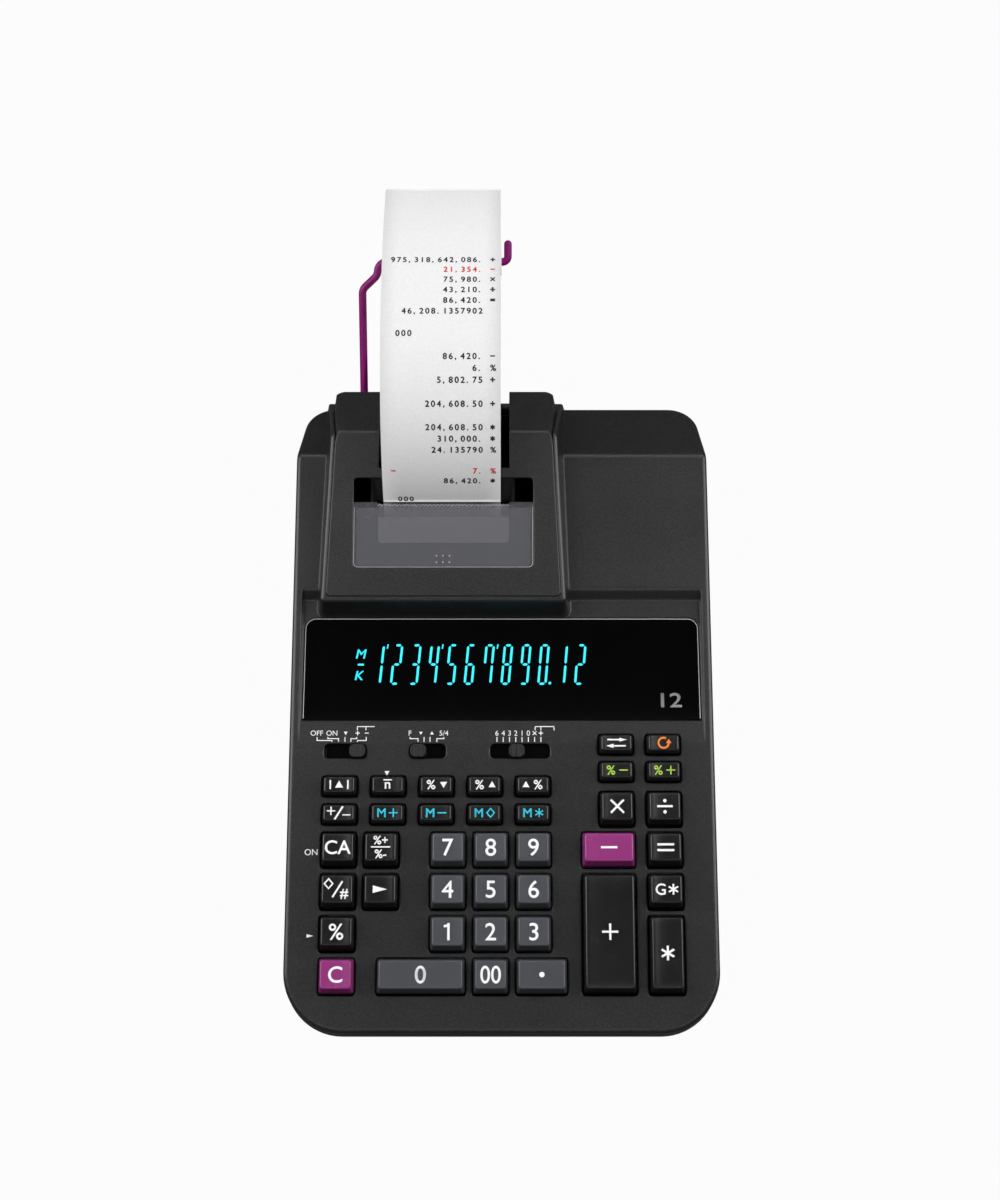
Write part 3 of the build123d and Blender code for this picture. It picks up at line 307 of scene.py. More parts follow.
finishes = {
    "casing": mouldedPlastic("mouldedAbsCasing", "#151516", "#272728", 0.31, 0.8, 0.018, 1.2),
    "cover": mouldedPlastic("mouldedAbsCover", "#171718", "#29292a", 0.33, 0.8, 0.018, 1.0),
    "window": mouldedPlastic("smokedAcrylic", "#030304", "#040405", 0.05, 20.0, 0.0, 0.0, 0.3),
    "blackKey": mouldedPlastic("semiGlossAbsBlack", "#0e0e0f", "#151516", 0.26, 0.35, 0.004),
    "greyKey": mouldedPlastic("semiGlossAbsSlate", "#404247", "#484a4f", 0.30, 0.35, 0.004),
    "purpleKey": mouldedPlastic("semiGlossAbsMagenta", "#8a2c72", "#933379", 0.26, 0.35, 0.004),
    "knob": mouldedPlastic("satinAbsBlack", "#131313", "#1a1a1a", 0.34, 0.3, 0.02, 0.4),
    # painted shade: near-black stand-in for the shade inside the switch slots
    "paintedSlotShade": mouldedPlastic("paintedShadeSlider", "#040404", "#060606", 0.9, 0.5, 0.0, 0.0, 0.05),
    "innerDeck": mouldedPlastic("mouldedNylonDeck", "#4e4e50", "#545456", 0.5, 0.5, 0.01, 0.0, 0.3),
    "foot": mouldedPlastic("mouldedRubberFoot", "#101010", "#181818", 0.75, 0.4, 0.04, 0.4),
    "board": mouldedPlastic("glassEpoxyBoard", "#12401f", "#174a26", 0.45, 1.5, 0.01),
    "mat": mouldedPlastic("siliconeMat", "#5a5a5c", "#666668", 0.6, 0.8, 0.02),
    "frame": mouldedPlastic("mouldedNylonFrame", "#121212", "#191919", 0.5, 0.5, 0.03, 0.3),
    "roller": mouldedPlastic("nitrileRoller", "#1a1a1a", "#222222", 0.8, 0.5, 0.05),
    "inkFelt": mouldedPlastic("inkedFeltRoll", "#160b22", "#221433", 0.9, 0.7, 0.2),
    "carriage": mouldedPlastic("mouldedAcetal", "#b8b7b0", "#c6c5be", 0.4, 0.5, 0.01, 0.3),
    "white": printedInk("padInkWhite", "#f4f4f4"),
    "cyan": printedInk("padInkCyan", "#20c6e0"),
    "green": printedInk("padInkGreen", "#a5cf3c"),
    "orange": printedInk("padInkOrange", "#ef7d20"),
    "grey": printedInk("padInkGrey", "#b9b9ba"),
    # painted highlight: a light grey line for the light caught by the rounded edges of the display window and
    # the tear plate
    "rim": printedInk("paintedRimHighlight", "#adadb0"),
    # painted highlight: the light line along the cutter's teeth, also used for the grip dots
    "edgeLight": printedInk("paintedEdgeHighlight", "#a9abb0"),
    "glow": printedInk("fluorescentPhosphor", "#22cbd8", 0.5, 0.72),
    "tapeBlack": printedInk("ribbonInkBlack", "#15161a", 0.8),
    "tapeRed": printedInk("ribbonInkRed", "#e03a22", 0.8),
}


def lacqueredWire(name):
    # bent steel wire under a satin powder coat: soft broad highlight along its length
    finish, tree = newFinish(name)
    fine = grain(tree, 0.5)
    bump = addNode(tree, "ShaderNodeBump", {"Height": fine, "Strength": 1.0, "Distance": 0.02 * mm})
    shader = addNode(tree, "ShaderNodeBsdfPrincipled", {
        "Base Color": blendColours(tree, fine, "#7c0563", "#880c6d"), "Roughness": 0.3, "IOR": 1.5,
        "Specular IOR Level": 0.25, "Normal": bump.outputs["Normal"]})
    closeFinish(tree, shader.outputs["BSDF"])
    return finish


def wovenFibrePaper(name, low, high, layered=False):
    # uncoated roll paper: fibres mottle it a little and it lets no highlight through
    finish, tree = newFinish(name)
    place = addNode(tree, "ShaderNodeTexCoord").outputs["Object"]
    fibre = addNode(tree, "ShaderNodeTexNoise", {"Vector": place, "Scale": 900.0, "Detail": 4.0})
    colour = blendColours(tree, fibre.outputs["Fac"], low, high)
    height, depth = fibre.outputs["Fac"], 0.008
    if layered:
        # wound layers: rings about the roll's own axis, drawn coarse enough to show
        toAxis, ringPitch = (0.0, -0.176, -0.090), 0.5 * mm
        moved = addNode(tree, "ShaderNodeVectorMath", {0: place, 1: toAxis}, operation="ADD")
        flat = addNode(tree, "ShaderNodeVectorMath", {0: moved.outputs["Vector"], 1: (0.0, 1.0, 1.0)},
                       operation="MULTIPLY")
        reach = addNode(tree, "ShaderNodeVectorMath", {0: flat.outputs["Vector"]}, operation="LENGTH")
        wave = addNode(tree, "ShaderNodeMath", {0: reach.outputs["Value"], 1: 2 * math.pi / ringPitch},
                       operation="MULTIPLY")
        rings = addNode(tree, "ShaderNodeMath", {0: wave.outputs["Value"]}, operation="SINE")
        height, depth = rings.outputs["Value"], 0.03
    bump = addNode(tree, "ShaderNodeBump", {"Height": height, "Strength": 0.6, "Distance": depth * mm})
    shader = addNode(tree, "ShaderNodeBsdfPrincipled", {
        "Base Color": colour, "Roughness": 0.85, "Normal": bump.outputs["Normal"],
        "Specular IOR Level": 0.2})
    closeFinish(tree, shader.outputs["BSDF"])
    return finish


def tintedPolystyrene(name, code, opacity, roughness):
    # moulded clear grey polystyrene: shows what lies under it, with a cool sheen on top
    finish, tree = newFinish(name)
    tint = addNode(tree, "ShaderNodeBsdfTransparent", {"Color": (0.93, 0.935, 0.95, 1.0)})
    fine = grain(tree, 3.0)
    body = addNode(tree, "ShaderNodeBsdfPrincipled", {
        "Base Color": blendColours(tree, fine, code, code), "Roughness": roughness, "IOR": 1.59})
    mix = addNode(tree, "ShaderNodeMixShader", {"Fac": opacity, 1: tint.outputs["BSDF"],
                                                2: body.outputs["BSDF"]})
    closeFinish(tree, mix.outputs["Shader"])
    return finish


def plainSteel(name):
    # pressed and ground steel: fine scratches along X streak its colour
    finish, tree = newFinish(name)
    place = addNode(tree, "ShaderNodeTexCoord").outputs["Object"]
    along = addNode(tree, "ShaderNodeMapping", {"Vector": place, "Scale": (60.0, 2500.0, 2500.0)})
    scratch = addNode(tree, "ShaderNodeTexNoise", {"Vector": along.outputs["Vector"], "Scale": 1.0,
                                                   "Detail": 3.0}).outputs["Fac"]
    shader = addNode(tree, "ShaderNodeBsdfPrincipled", {
        "Base Color": blendColours(tree, scratch, "#8a8b8e", "#a2a3a6"), "Metallic": 1.0, "Roughness": 0.34})
    closeFinish(tree, shader.outputs["BSDF"])
    return finish


finishes["arm"] = lacqueredWire("powderCoatedWire")
finishes["paper"] = wovenFibrePaper("uncoatedRollPaper", "#dedede", "#e3e3e3")
finishes["wound"] = wovenFibrePaper("woundRollPaper", "#e6e6e5", "#f6f6f5", True)
finishes["tear"] = tintedPolystyrene("clearGreyPolystyrene", "#7c7c7f", 0.17, 0.16)
finishes["tearThin"] = tintedPolystyrene("thinGreyPolystyrene", "#c9c8cf", 0.1, 0.3)
finishes["steel"] = plainSteel("groundSteel")

nodeFinish = {
    "upper_case": "casing", "lower_case": "casing", "printer_cover": "cover", "display_window": "window",
    "display_tube": "window", "rubber_feet": "foot", "main_board": "board", "key_mat": "mat",
    "transformer": "steel", "printer_motor": "steel", "printer_frame": "frame", "feed_roller": "roller",
    "ink_roll": "inkFelt", "print_carriage": "carriage", "paper_roll": "wound", "roll_arm": "arm",
    "tear_window": "tear", "mode_switch_knob": "knob", "rounding_switch_knob": "knob",
    "decimal_switch_knob": "knob", "paper_tape": "paper",
}
for nodeName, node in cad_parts.items():
    node.data.materials.clear()
    node.data.materials.append(finishes[nodeFinish.get(nodeName, "blackKey")])
print("finishes on the frame's nodes")

# key caps: dished tops with rounded edges over drafted skirts
cap = dict(rise=6.0, sunk=-2.3, corner=1.3, leastCorner=0.5, sideRun=1.25, frontRun=2.7, rearRun=0.9,
           smallDepth=12.0, smallFrontRun=1.2, smallRearRun=0.7, dish=0.6, edgeRound=0.95, flange=1.0,
           perCorner=6, perSide=7, perEdge=6, ringsIn=6, ringsEnd=0.12, inkLift=0.05)


def keyPlace(keyName):
    # the key's flange is wider than its cap by the same amount all round, so its box gives the cap's place
    turn = math.radians(keyboard["slope"])
    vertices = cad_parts[keyName].data.vertices
    points = np.empty(len(vertices) * 3)
    vertices.foreach_get("co", points)
    points = points.reshape(-1, 3) / mm
    up = (points[:, 1] - keyboard["y"]) * math.cos(turn) + (points[:, 2] - keyboard["z"]) * math.sin(turn)
    grow = 2 * cap["flange"]
    x = (points[:, 0].max() + points[:, 0].min()) / 2
    width = np.ptp(points[:, 0]) - grow
    depth = np.ptp(up) - grow
    return x, (up.max() + up.min()) / 2, width, depth


def topHeight(x, width):
    # the top is a shallow trough along the key, deepest in the middle of its width
    half = width / 2 - cap["sideRun"]
    return cap["rise"] - cap["dish"] * (1 - np.clip(np.abs(x) / half, 0, 1) ** 2)


def roundedRings(halfX, halfY, corner):
    # rounded rectangles, one a row: four quarter circles with points between them along the straight sides
    quarter = np.linspace(0, math.pi / 2, cap["perCorner"])
    rings, parts = [], []
    for step, (sx, sy) in enumerate(((1, 1), (-1, 1), (-1, -1), (1, -1))):
        turn = quarter + step * math.pi / 2
        x = sx * (halfX - corner)[:, None] + corner[:, None] * np.cos(turn)
        y = sy * (halfY - corner)[:, None] + corner[:, None] * np.sin(turn)
        rings.append(np.stack([x, y], -1))
    for step in range(4):
        parts.append(rings[step])
        begin, end = rings[step][:, -1:], rings[(step + 1) % 4][:, :1]
        share = (np.arange(1, cap["perSide"] + 1) / (cap["perSide"] + 1))[None, :, None]
        parts.append(begin + (end - begin) * share)
    return np.concatenate(parts, 1)


def keyCap(keyName, finish):
    x, up, width, depth = keyPlace(keyName)
    small = depth < cap["smallDepth"]
    frontRun = cap["smallFrontRun"] if small else cap["frontRun"]
    rearRun = cap["smallRearRun"] if small else cap["rearRun"]
    shift = (frontRun - rearRun) / 2
    # wall rings: the foot, half way up, then a quarter round over the top edge
    arc = np.radians(np.linspace(0, 90, cap["perEdge"]))
    inset = np.concatenate([[0, 0], cap["edgeRound"] * (1 - np.cos(arc))])
    drop = np.concatenate([[0, 0], cap["edgeRound"] * (1 - np.sin(arc))])
    share = np.concatenate([[0, 0.5], np.full(len(arc), 1.0)])
    halfX = width / 2 - cap["sideRun"] * share - inset
    halfY = depth / 2 - (frontRun + rearRun) / 2 * share - inset
    corner = np.maximum(cap["corner"] - inset, cap["leastCorner"])
    wall = roundedRings(halfX, halfY, corner)
    wall[..., 1] += (shift * share)[:, None]
    height = topHeight(wall[..., 0], width) - drop[:, None]
    height = cap["sunk"] * (1 - share[:, None]) + height * share[:, None]
    # rings that shrink across the top to its middle point
    scale = np.linspace(1, cap["ringsEnd"], cap["ringsIn"])[1:, None, None]
    centre = np.array([0, shift])
    inner = (wall[-1:] - centre) * scale + centre
    rings = np.concatenate([wall, inner])
    heights = np.concatenate([height, topHeight(inner[..., 0], width)])
    count = rings.shape[1]
    points = np.concatenate([rings.reshape(-1, 2), [centre]])
    heights = np.concatenate([heights.ravel(), [topHeight(0.0, width)]])
    faces = gridFaces(len(rings), count, True)
    last = (len(rings) - 1) * count
    ring = np.arange(count)
    fan = np.stack([last + ring, last + (ring + 1) % count, np.full(count, len(points) - 1)], -1).tolist()
    foot = [list(range(count - 1, -1, -1))]
    piece = makePiece("cap_" + keyName[4:], onPlane(keyboard, x + points[:, 0], up + points[:, 1], heights),
                      faces + fan + foot, finish, keyName)
    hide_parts(keyName)
    return x, up + shift, width


def keyLegend(keyName, place, shape, finish):
    # print on the cap: each point takes the dished top's height, and a hair more
    x, up, width = place
    points, faces = shape
    lift = topHeight(points[:, 0], width) + cap["inkLift"]
    makePiece("legend_" + keyName[4:], onPlane(keyboard, x + points[:, 0], up + points[:, 1], lift),
              faces, finish, keyName, False)


digitWords = ("zero", "one", "two", "three", "four", "five", "six", "seven", "eight", "nine")
greyKeys = ["key_" + word for word in digitWords] + ["key_double_zero", "key_point"]
purpleKeys = ["key_minus", "key_clear"]
legend = dict(digit=8.0, bold=0.1, memory=4.2, tax=4.4, oneStroke=0.145)
size, bold = legend["digit"], legend["bold"]


def besideM(sign, stroke=0.14):
    # the letter M with a sign on its right
    across = legend["memory"]
    return joinShapes([lettering("M", across, -2.7, 0, bold), signShape(sign, across, 2.9, 0, stroke)])


def percentAnd(x, sign, size, signX, stroke=0.13):
    # a percent sign at x and another sign at signX
    return joinShapes([lettering("%", legend["tax"], x, 0, bold), signShape(sign, size, signX, 0, stroke)])


legends = {"key_" + word: lettering(str(number), size, weight=bold) for number, word in enumerate(digitWords)}
legends["key_one"] = signShape("one", size, stroke=legend["oneStroke"])
legends.update({
    "key_double_zero": lettering("00", size, weight=bold, squeeze=0.88),
    "key_point": disc(0, 0, 1.25, 24),
    "key_clear": lettering("C", 7.4, weight=bold),
    "key_all_clear": lettering("CA", 6.4, weight=bold),
    "key_markup": joinShapes([lettering("%+", 4.0, 0, 3.4, bold), bar(0, 0.15, 9.2, 0.6),
                              lettering("%-", 4.0, 0, -3.1, bold)]),
    "key_subtotal": joinShapes([signShape("diamond", 4.6, -4.0, 2.6), signShape("slash", 7.6, 0.2, 0, 0.11),
                                lettering("#", 4.6, 3.4, -2.2, bold)]),
    "key_shift": signShape("right", 6.8),
    "key_percent": lettering("%", 7.4, weight=bold),
    "key_sign": joinShapes([signShape("plus", 4.0, -3.6, 0.9, 0.14), signShape("slash", 6.2, 0.1, 0, 0.14),
                            signShape("minus", 4.0, 3.8, -1.0, 0.14)]),
    "key_memory_plus": besideM("plus"),
    "key_memory_minus": besideM("minus"),
    "key_memory_subtotal": besideM("diamond", 0.13),
    "key_memory_total": besideM("star", 0.13),
    "key_feed": joinShapes([signShape("up", 4.8), bar(-4.2, 0, 0.7, 4.4), bar(4.2, 0, 0.7, 4.4)]),
    "key_item": joinShapes([lettering("n", 4.6, 0, -0.4, bold), bar(0, 2.3, 4.0, 0.6)]),
    "key_cost": percentAnd(-2.4, "down", 4.2, 3.6),
    "key_sell": percentAnd(-2.4, "up", 4.2, 3.6),
    "key_margin": joinShapes([signShape("up", 4.2, -3.4, 0), lettering("%", legend["tax"], 2.4, 0, bold)]),
    "key_change": joinShapes([signShape("right", 3.6, 3.2, 1.5), bar(-1.2, 1.5, 6.4, 0.7),
                              bar(1.2, -1.5, 6.4, 0.7), triangle((-1.4, -2.5), (-1.4, -0.5), (-5.0, -1.5))]),
    "key_reprint": signShape("again", 6.2, 0, 0, 0.15),
    "key_tax_minus": percentAnd(-2.8, "minus", 4.2, 3.2, 0.14),
    "key_tax_plus": percentAnd(-2.8, "plus", 4.2, 3.2, 0.14),
    "key_multiply": signShape("times", 7.6),
    "key_divide": signShape("divide", 7.4),
    "key_minus": signShape("minus", 7.8),
    "key_equals": signShape("equals", 8.0),
    "key_plus": signShape("plus", 7.6),
    "key_grand_total": joinShapes([lettering("G", 5.2, -2.8, 0, bold), signShape("star", 5.0, 3.2, 0, 0.16)]),
    "key_total": signShape("star", 6.8, 0, 0, 0.15),
})
inks = {"key_memory": "cyan", "key_tax": "green", "key_reprint": "orange"}
for keyName, shape in legends.items():
    plastic = "greyKey" if keyName in greyKeys else "purpleKey" if keyName in purpleKeys else "blackKey"
    ink = next((colour for start, colour in inks.items() if keyName.startswith(start)), "white")
    keyLegend(keyName, keyCap(keyName, finishes[plastic]), shape, finishes[ink])
print("keys", len(legends))

# display: lit figures and signs, a painted highlight along the window's rim and the plain figure count
display = dict(figureHeight=19.4, figureWidth=3.5, pitch=9.0, firstX=-63.1, baseUp=29.7, lean=0.09,
               stroke=1.1, gap=0.42, lift=0.04, tickAside=3.4, tickFoot=17.7, tickTop=19.9, tickLean=0.4,
               tickWidth=0.6, tickAt=(0, 3, 6), pointAt=9, pointAside=5.6, pointUp=0.3, pointRadius=0.7,
               signHeight=4.6, signWeight=0.1, signLean=0.2, rimHalf=97.0, rimNear=12.4, rimFar=63.0,
               rimInset=0.5, rimWidth=0.35, rimCorner=5.0)


def figureShape(segments, x):
    # seven-part figure: bars with pointed ends round two boxes, leaning to the right
    w, h, s, gap = display["figureWidth"], display["figureHeight"], display["stroke"], display["gap"]
    ends = {"a": ((0, h), (w, h)), "g": ((0, h / 2), (w, h / 2)), "d": ((0, 0), (w, 0)),
            "f": ((0, h / 2), (0, h)), "b": ((w, h / 2), (w, h)), "e": ((0, 0), (0, h / 2)),
            "c": ((w, 0), (w, h / 2))}
    shapes = []
    for name in segments:
        begin, end = np.array(ends[name][0]), np.array(ends[name][1])
        along = (end - begin) / np.linalg.norm(end - begin)
        side = np.array([-along[1], along[0]]) * s / 2
        begin, end = begin + along * gap, end - along * gap
        points = np.array([begin, begin + along * s / 2 - side, end - along * s / 2 - side, end,
                           end - along * s / 2 + side, begin + along * s / 2 + side])
        shapes.append((points, [[0, 1, 2, 3, 4, 5]]))
    points, faces = joinShapes(shapes)
    points[:, 0] += x + points[:, 1] * display["lean"]
    return points, faces


segmentsOf = {"0": "abcdef", "1": "bc", "2": "abged", "3": "abgcd", "4": "fgbc", "5": "afgcd", "6": "afgedc",
              "7": "fabc", "8": "abcdefg", "9": "abcdfg"}
figures = [figureShape(segmentsOf[figure], display["firstX"] + place * display["pitch"])
           for place, figure in enumerate("123456789012")]
for place in display["tickAt"]:
    x = display["firstX"] + place * display["pitch"] + display["figureWidth"] + display["tickAside"]
    figures.append(ribbon([(x, display["tickFoot"]), (x + display["tickLean"], display["tickTop"])],
                          display["tickWidth"]))
figures.append(disc(display["firstX"] + display["pointAt"] * display["pitch"] + display["pointAside"],
                    display["pointUp"], display["pointRadius"], 12))
signs = [signShape("minus", 3.0, -69.0, 9.6, 0.3)]
for letter, x, up in (("M", -68.9, 15.0), ("K", -69.4, 4.1)):
    points, faces = lettering(letter, display["signHeight"], x, up, display["signWeight"])
    points[:, 0] += (points[:, 1] - up) * display["signLean"]
    signs.append((points, faces))
for name, shapes in (("litFigures", figures), ("litSigns", signs)):
    points, faces = joinShapes(shapes)
    flatPiece(name, recess, (points + (0, display["baseUp"]), faces), display["lift"], "glow", "casing")
# the painted rim highlight runs along the window's rear edge, round its corners and down its sides
corner = display["rimCorner"]
edge, far = display["rimHalf"] - display["rimInset"], display["rimFar"] - display["rimInset"]
arc = quarterArc(corner, 0, 12) + (edge - corner, far - corner)
right = np.concatenate([[(edge, display["rimNear"])], arc])
rim = ribbon(np.concatenate([right, right[::-1] * (-1, 1)]), display["rimWidth"])
flatPiece("windowRimHighlight", recess, rim, display["lift"], "rim", "casing")
# how many figures the display has, by height, place, stroke weight and squeeze
count = lettering("12", 7.0, 82.7, 21.5, 0.1, 1.3)
flatPiece("figureCount", recess, count, display["lift"], "grey", "casing")
print("display")

# paper tape: from the roll, over the lip, round the feed roller and out in a long curl
tape = dict(left=-58.0, width=57.5, thick=0.2, across=7, exitDepth=246.7, exitHeight=79.6, exitSlope=72.0,
            curlLow=82.0, curlLowTurn=57.0, curlHigh=146.0, curlHighTurn=37.9, freePoints=90, linePitch=5.66,
            columnPitch=2.83, figure=2.9, firstLine=-5.0, margin=4.4, inkLift=0.04, weight=0.045,
            bendFrom=(246.3, 79.2), bendTo=(377.6, 231.6))
lowLength = tape["curlLow"] * math.radians(tape["curlLowTurn"])
highLength = tape["curlHigh"] * math.radians(tape["curlHighTurn"])


def tapeFree(s, lift=0.0):
    # place at a distance s past the slot: straight before it, then two arcs that lean back
    s = np.asarray(s, float)
    lowCurl, highCurl = tape["curlLow"], tape["curlHigh"]
    start = math.radians(tape["exitSlope"])
    middle = start - math.radians(tape["curlLowTurn"])
    low = start - np.clip(s, 0, lowLength) / lowCurl
    high = middle - np.clip(s - lowLength, 0, None) / highCurl
    straight = np.clip(s, None, 0)
    past = s > lowLength
    heading = np.where(past, high, low)
    depth = tape["exitDepth"] + straight * math.cos(start) + lowCurl * (math.sin(start) - np.sin(low)) \
        + np.where(past, highCurl * (math.sin(middle) - np.sin(high)), 0)
    height = tape["exitHeight"] + straight * math.sin(start) + lowCurl * (np.cos(low) - math.cos(start)) \
        + np.where(past, highCurl * (np.cos(high) - math.cos(middle)), 0)
    return depth - lift * np.sin(heading), height + lift * np.cos(heading)


def bentLine(points, radii):
    # straight runs joined by arcs: each corner gives its two tangent points and the arc between them
    line = [np.array(points[0])]
    for before, corner, after, radius in zip(points, points[1:], points[2:], radii):
        corner = np.array(corner)
        back = np.array(before) - corner
        on = np.array(after) - corner
        back /= np.linalg.norm(back)
        on /= np.linalg.norm(on)
        half = math.acos(np.clip(back @ on, -1, 1)) / 2
        middle = corner + (back + on) / np.linalg.norm(back + on) * radius / math.sin(half)
        begin = corner + back * radius / math.tan(half) - middle
        end = corner + on * radius / math.tan(half) - middle
        share = np.linspace(0, 1, feed["arcPoints"])[:, None]
        span = math.pi - 2 * half
        arc = np.sin((1 - share) * span) * begin + np.sin(share * span) * end
        line.extend(middle + arc / math.sin(span))
    line.append(np.array(points[-1]))
    return np.array(line)


# hidden path: off the roll at a tangent, over the lip, down the chute, round the feed roller, up to the slot
feed = dict(height=60.0, wrap=6.3, chuteSlope=40.0, chuteRun=22.0, lipDepth=306.0, lipHeight=71.3, bend=8.0,
            rollDepth=380.0, rollHeight=90.0, rollRadius=28.3, runPoints=24, arcPoints=14)
exitTilt, chuteTilt = math.radians(tape["exitSlope"]), math.radians(feed["chuteSlope"])
feedDepth = tape["exitDepth"] - (tape["exitHeight"] - feed["height"] - feed["wrap"] * math.cos(exitTilt)) \
    / math.tan(exitTilt) + feed["wrap"] * math.sin(exitTilt)
chuteStart = (feedDepth + feed["wrap"] * math.sin(chuteTilt) + feed["chuteRun"] * math.cos(chuteTilt),
              feed["height"] - feed["wrap"] * math.cos(chuteTilt) + feed["chuteRun"] * math.sin(chuteTilt))
cornerRun = feed["wrap"] / math.tan((exitTilt - chuteTilt) / 2)
feedCorner = (feedDepth + feed["wrap"] * math.sin(chuteTilt) - cornerRun * math.cos(chuteTilt),
              feed["height"] - feed["wrap"] * math.cos(chuteTilt) - cornerRun * math.sin(chuteTilt))
away = (feed["rollDepth"] - feed["lipDepth"], feed["rollHeight"] - feed["lipHeight"])
rollLine = math.atan2(away[1], away[0]) - math.asin(feed["rollRadius"] / math.hypot(*away))
rollReach = math.sqrt(away[0] ** 2 + away[1] ** 2 - feed["rollRadius"] ** 2)
rollPoint = (feed["lipDepth"] + rollReach * math.cos(rollLine),
             feed["lipHeight"] + rollReach * math.sin(rollLine))
hidden = bentLine([rollPoint, (feed["lipDepth"], feed["lipHeight"]), chuteStart, feedCorner,
                   (tape["exitDepth"], tape["exitHeight"])], [feed["bend"], feed["bend"], feed["wrap"]])
freeDepth, freeHeight = tapeFree(np.linspace(0, lowLength + highLength, tape["freePoints"])[1:])
feedRun = np.linspace(hidden[0], hidden[1], feed["runPoints"])
centre = np.concatenate([feedRun, hidden[2:], np.stack([freeDepth, freeHeight], -1)])
ahead = np.gradient(centre, axis=0)
ahead /= np.linalg.norm(ahead, axis=1)[:, None]
print("tape path", len(centre), "points")


def stripPiece(name, first, last):
    # two faces half the paper's thickness either side of its centre line, closed round the edges
    stretch = slice(first, last + 1)
    path = centre[stretch]
    normal = np.stack([-ahead[stretch, 1], ahead[stretch, 0]], -1) * tape["thick"] / 2
    across = np.linspace(tape["left"], tape["left"] + tape["width"], tape["across"])
    section = np.concatenate([across, across[::-1]])
    sideOf = np.repeat([1.0, -1.0], tape["across"])
    line = path[:, None, :] + normal[:, None, :] * sideOf[None, :, None]
    width = np.broadcast_to(section, line.shape[:2])
    points = np.stack([width, line[..., 0] + frontEdge, line[..., 1]], -1) * mm
    count = len(section)
    faces = gridFaces(len(path), count, True)
    ends = [list(range(count)), list(range(len(path) * count - 1, (len(path) - 1) * count - 1, -1))]
    piece = makePiece(name, points, faces + ends, finishes["paper"], None)
    return piece


def leanWithArm(piece):
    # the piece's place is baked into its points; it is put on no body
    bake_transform(piece)


# the stretch from the roll to the lip, baked in place and put on no body
lipPoint, slotPoint = feed["runPoints"] - 1, len(feedRun) + len(hidden) - 3
fed = stripPiece("paperFed", 0, lipPoint)
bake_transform(fed)
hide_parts("paper_tape")
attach(stripPiece("paperInside", lipPoint, slotPoint), "casing")
leanWithArm(stripPiece("paperStrip", slotPoint, len(centre) - 1))

tapeLines = [
    # line up from the cutter, ink, what is printed; columns count from the left
    (0, "tapeBlack", "246,801,357,924. *"), (1, "tapeBlack", " 000"), (3, "tapeBlack", "         86,420. *"),
    (4, "tapeRed", "-             7. %"), (6, "tapeBlack", "       24.135790 %"),
    (7, "tapeBlack", "        310,000. *"), (8, "tapeBlack", "      204,608.50 *"),
    (10, "tapeBlack", "      204,608.50 +"), (12, "tapeBlack", "        5,802.75 +"),
    (13, "tapeBlack", "              6. %"), (14, "tapeBlack", "         86,420. -"),
    (16, "tapeBlack", " 000"), (18, "tapeBlack", "  46,208.1357902"), (19, "tapeBlack", "         86,420. ="),
    (20, "tapeBlack", "         43,210. ÷"), (21, "tapeBlack", "         75,980. ×"),
    (22, "tapeRed", "         21,354. -"), (23, "tapeBlack", "975,318,642,086. +"),
]
# signs on the tape are drawn, each with its share of a figure's height; the rest is lettering
tapeSigns = {"*": ("star", 0.8), "+": ("plus", 0.75), "-": ("minus", 0.75), "=": ("equals", 0.75),
             "×": ("times", 0.8), "÷": ("divide", 0.75)}
glyphs = {}
for mark in "0123456789,.-+%*=÷×":
    if mark in tapeSigns:
        shape = signShape(*tapeSigns[mark], 0.4, 0.5, 0.2)
    else:
        outline, outlineFaces = glyphShape(mark)
        shape = (outline - (0, digitFoot)) / digitHeight, outlineFaces
    glyphs[mark] = thicken(shape, tape["weight"])


def tapePrint(name, ink):
    # each mark stands in its own column, and the whole line is bent onto the strip
    shapes = []
    for line, colour, text in tapeLines:
        for column, mark in enumerate(text if colour == ink else ""):
            if mark != " ":
                outline, outlineFaces = glyphs[mark]
                corner = column * tape["columnPitch"], line * tape["linePitch"]
                shapes.append((outline * tape["figure"] + corner, outlineFaces))
    points, faces = joinShapes(shapes)
    depth, height = tapeFree(points[:, 1] + tape["firstLine"], tape["thick"] / 2 + tape["inkLift"])
    points = np.stack([points[:, 0] + tape["left"] + tape["margin"], depth + frontEdge, height], -1) * mm
    piece = makePiece(name, points, faces, finishes[ink], None, False)
    leanWithArm(piece)


tapePrint("tapeFigures", "tapeBlack")
tapePrint("tapeFiguresRed", "tapeRed")
print("tape")

# the tear window: deck under it, thin centre pane, painted highlights on its teeth, rim and grip dots
tearing = dict(left=-60.8, right=3.8, front=26.74, cutter=46.19, sunk=0.5, corner=2.0, margin=0.1,
               paneLift=0.03, teeth=34, toothPitch=1.9, toothHeight=0.9, toothWidth=0.22, toothLift=0.05,
               gripX=-28.7, gripUp=18.8, gripStep=3.2, gripRadius=0.45, gripSunk=0.03, deckLeft=-72.5,
               deckRight=15.3, deckFront=14.7, deckRear=44.6, openFrom=39.8, under=1.45, deckThick=0.3,
               rimInset=0.15, rimCorner=2.2, rimWidth=0.2, rimLift=0.03)


def roundedFront(left, right, front, corner):
    # the near side of a plate, from its left side round both corners to its right side
    arc = quarterArc(corner, 180, 8) + corner
    return np.concatenate([arc + (left, front), arc[::-1] * (-1, 1) + (right, front)])


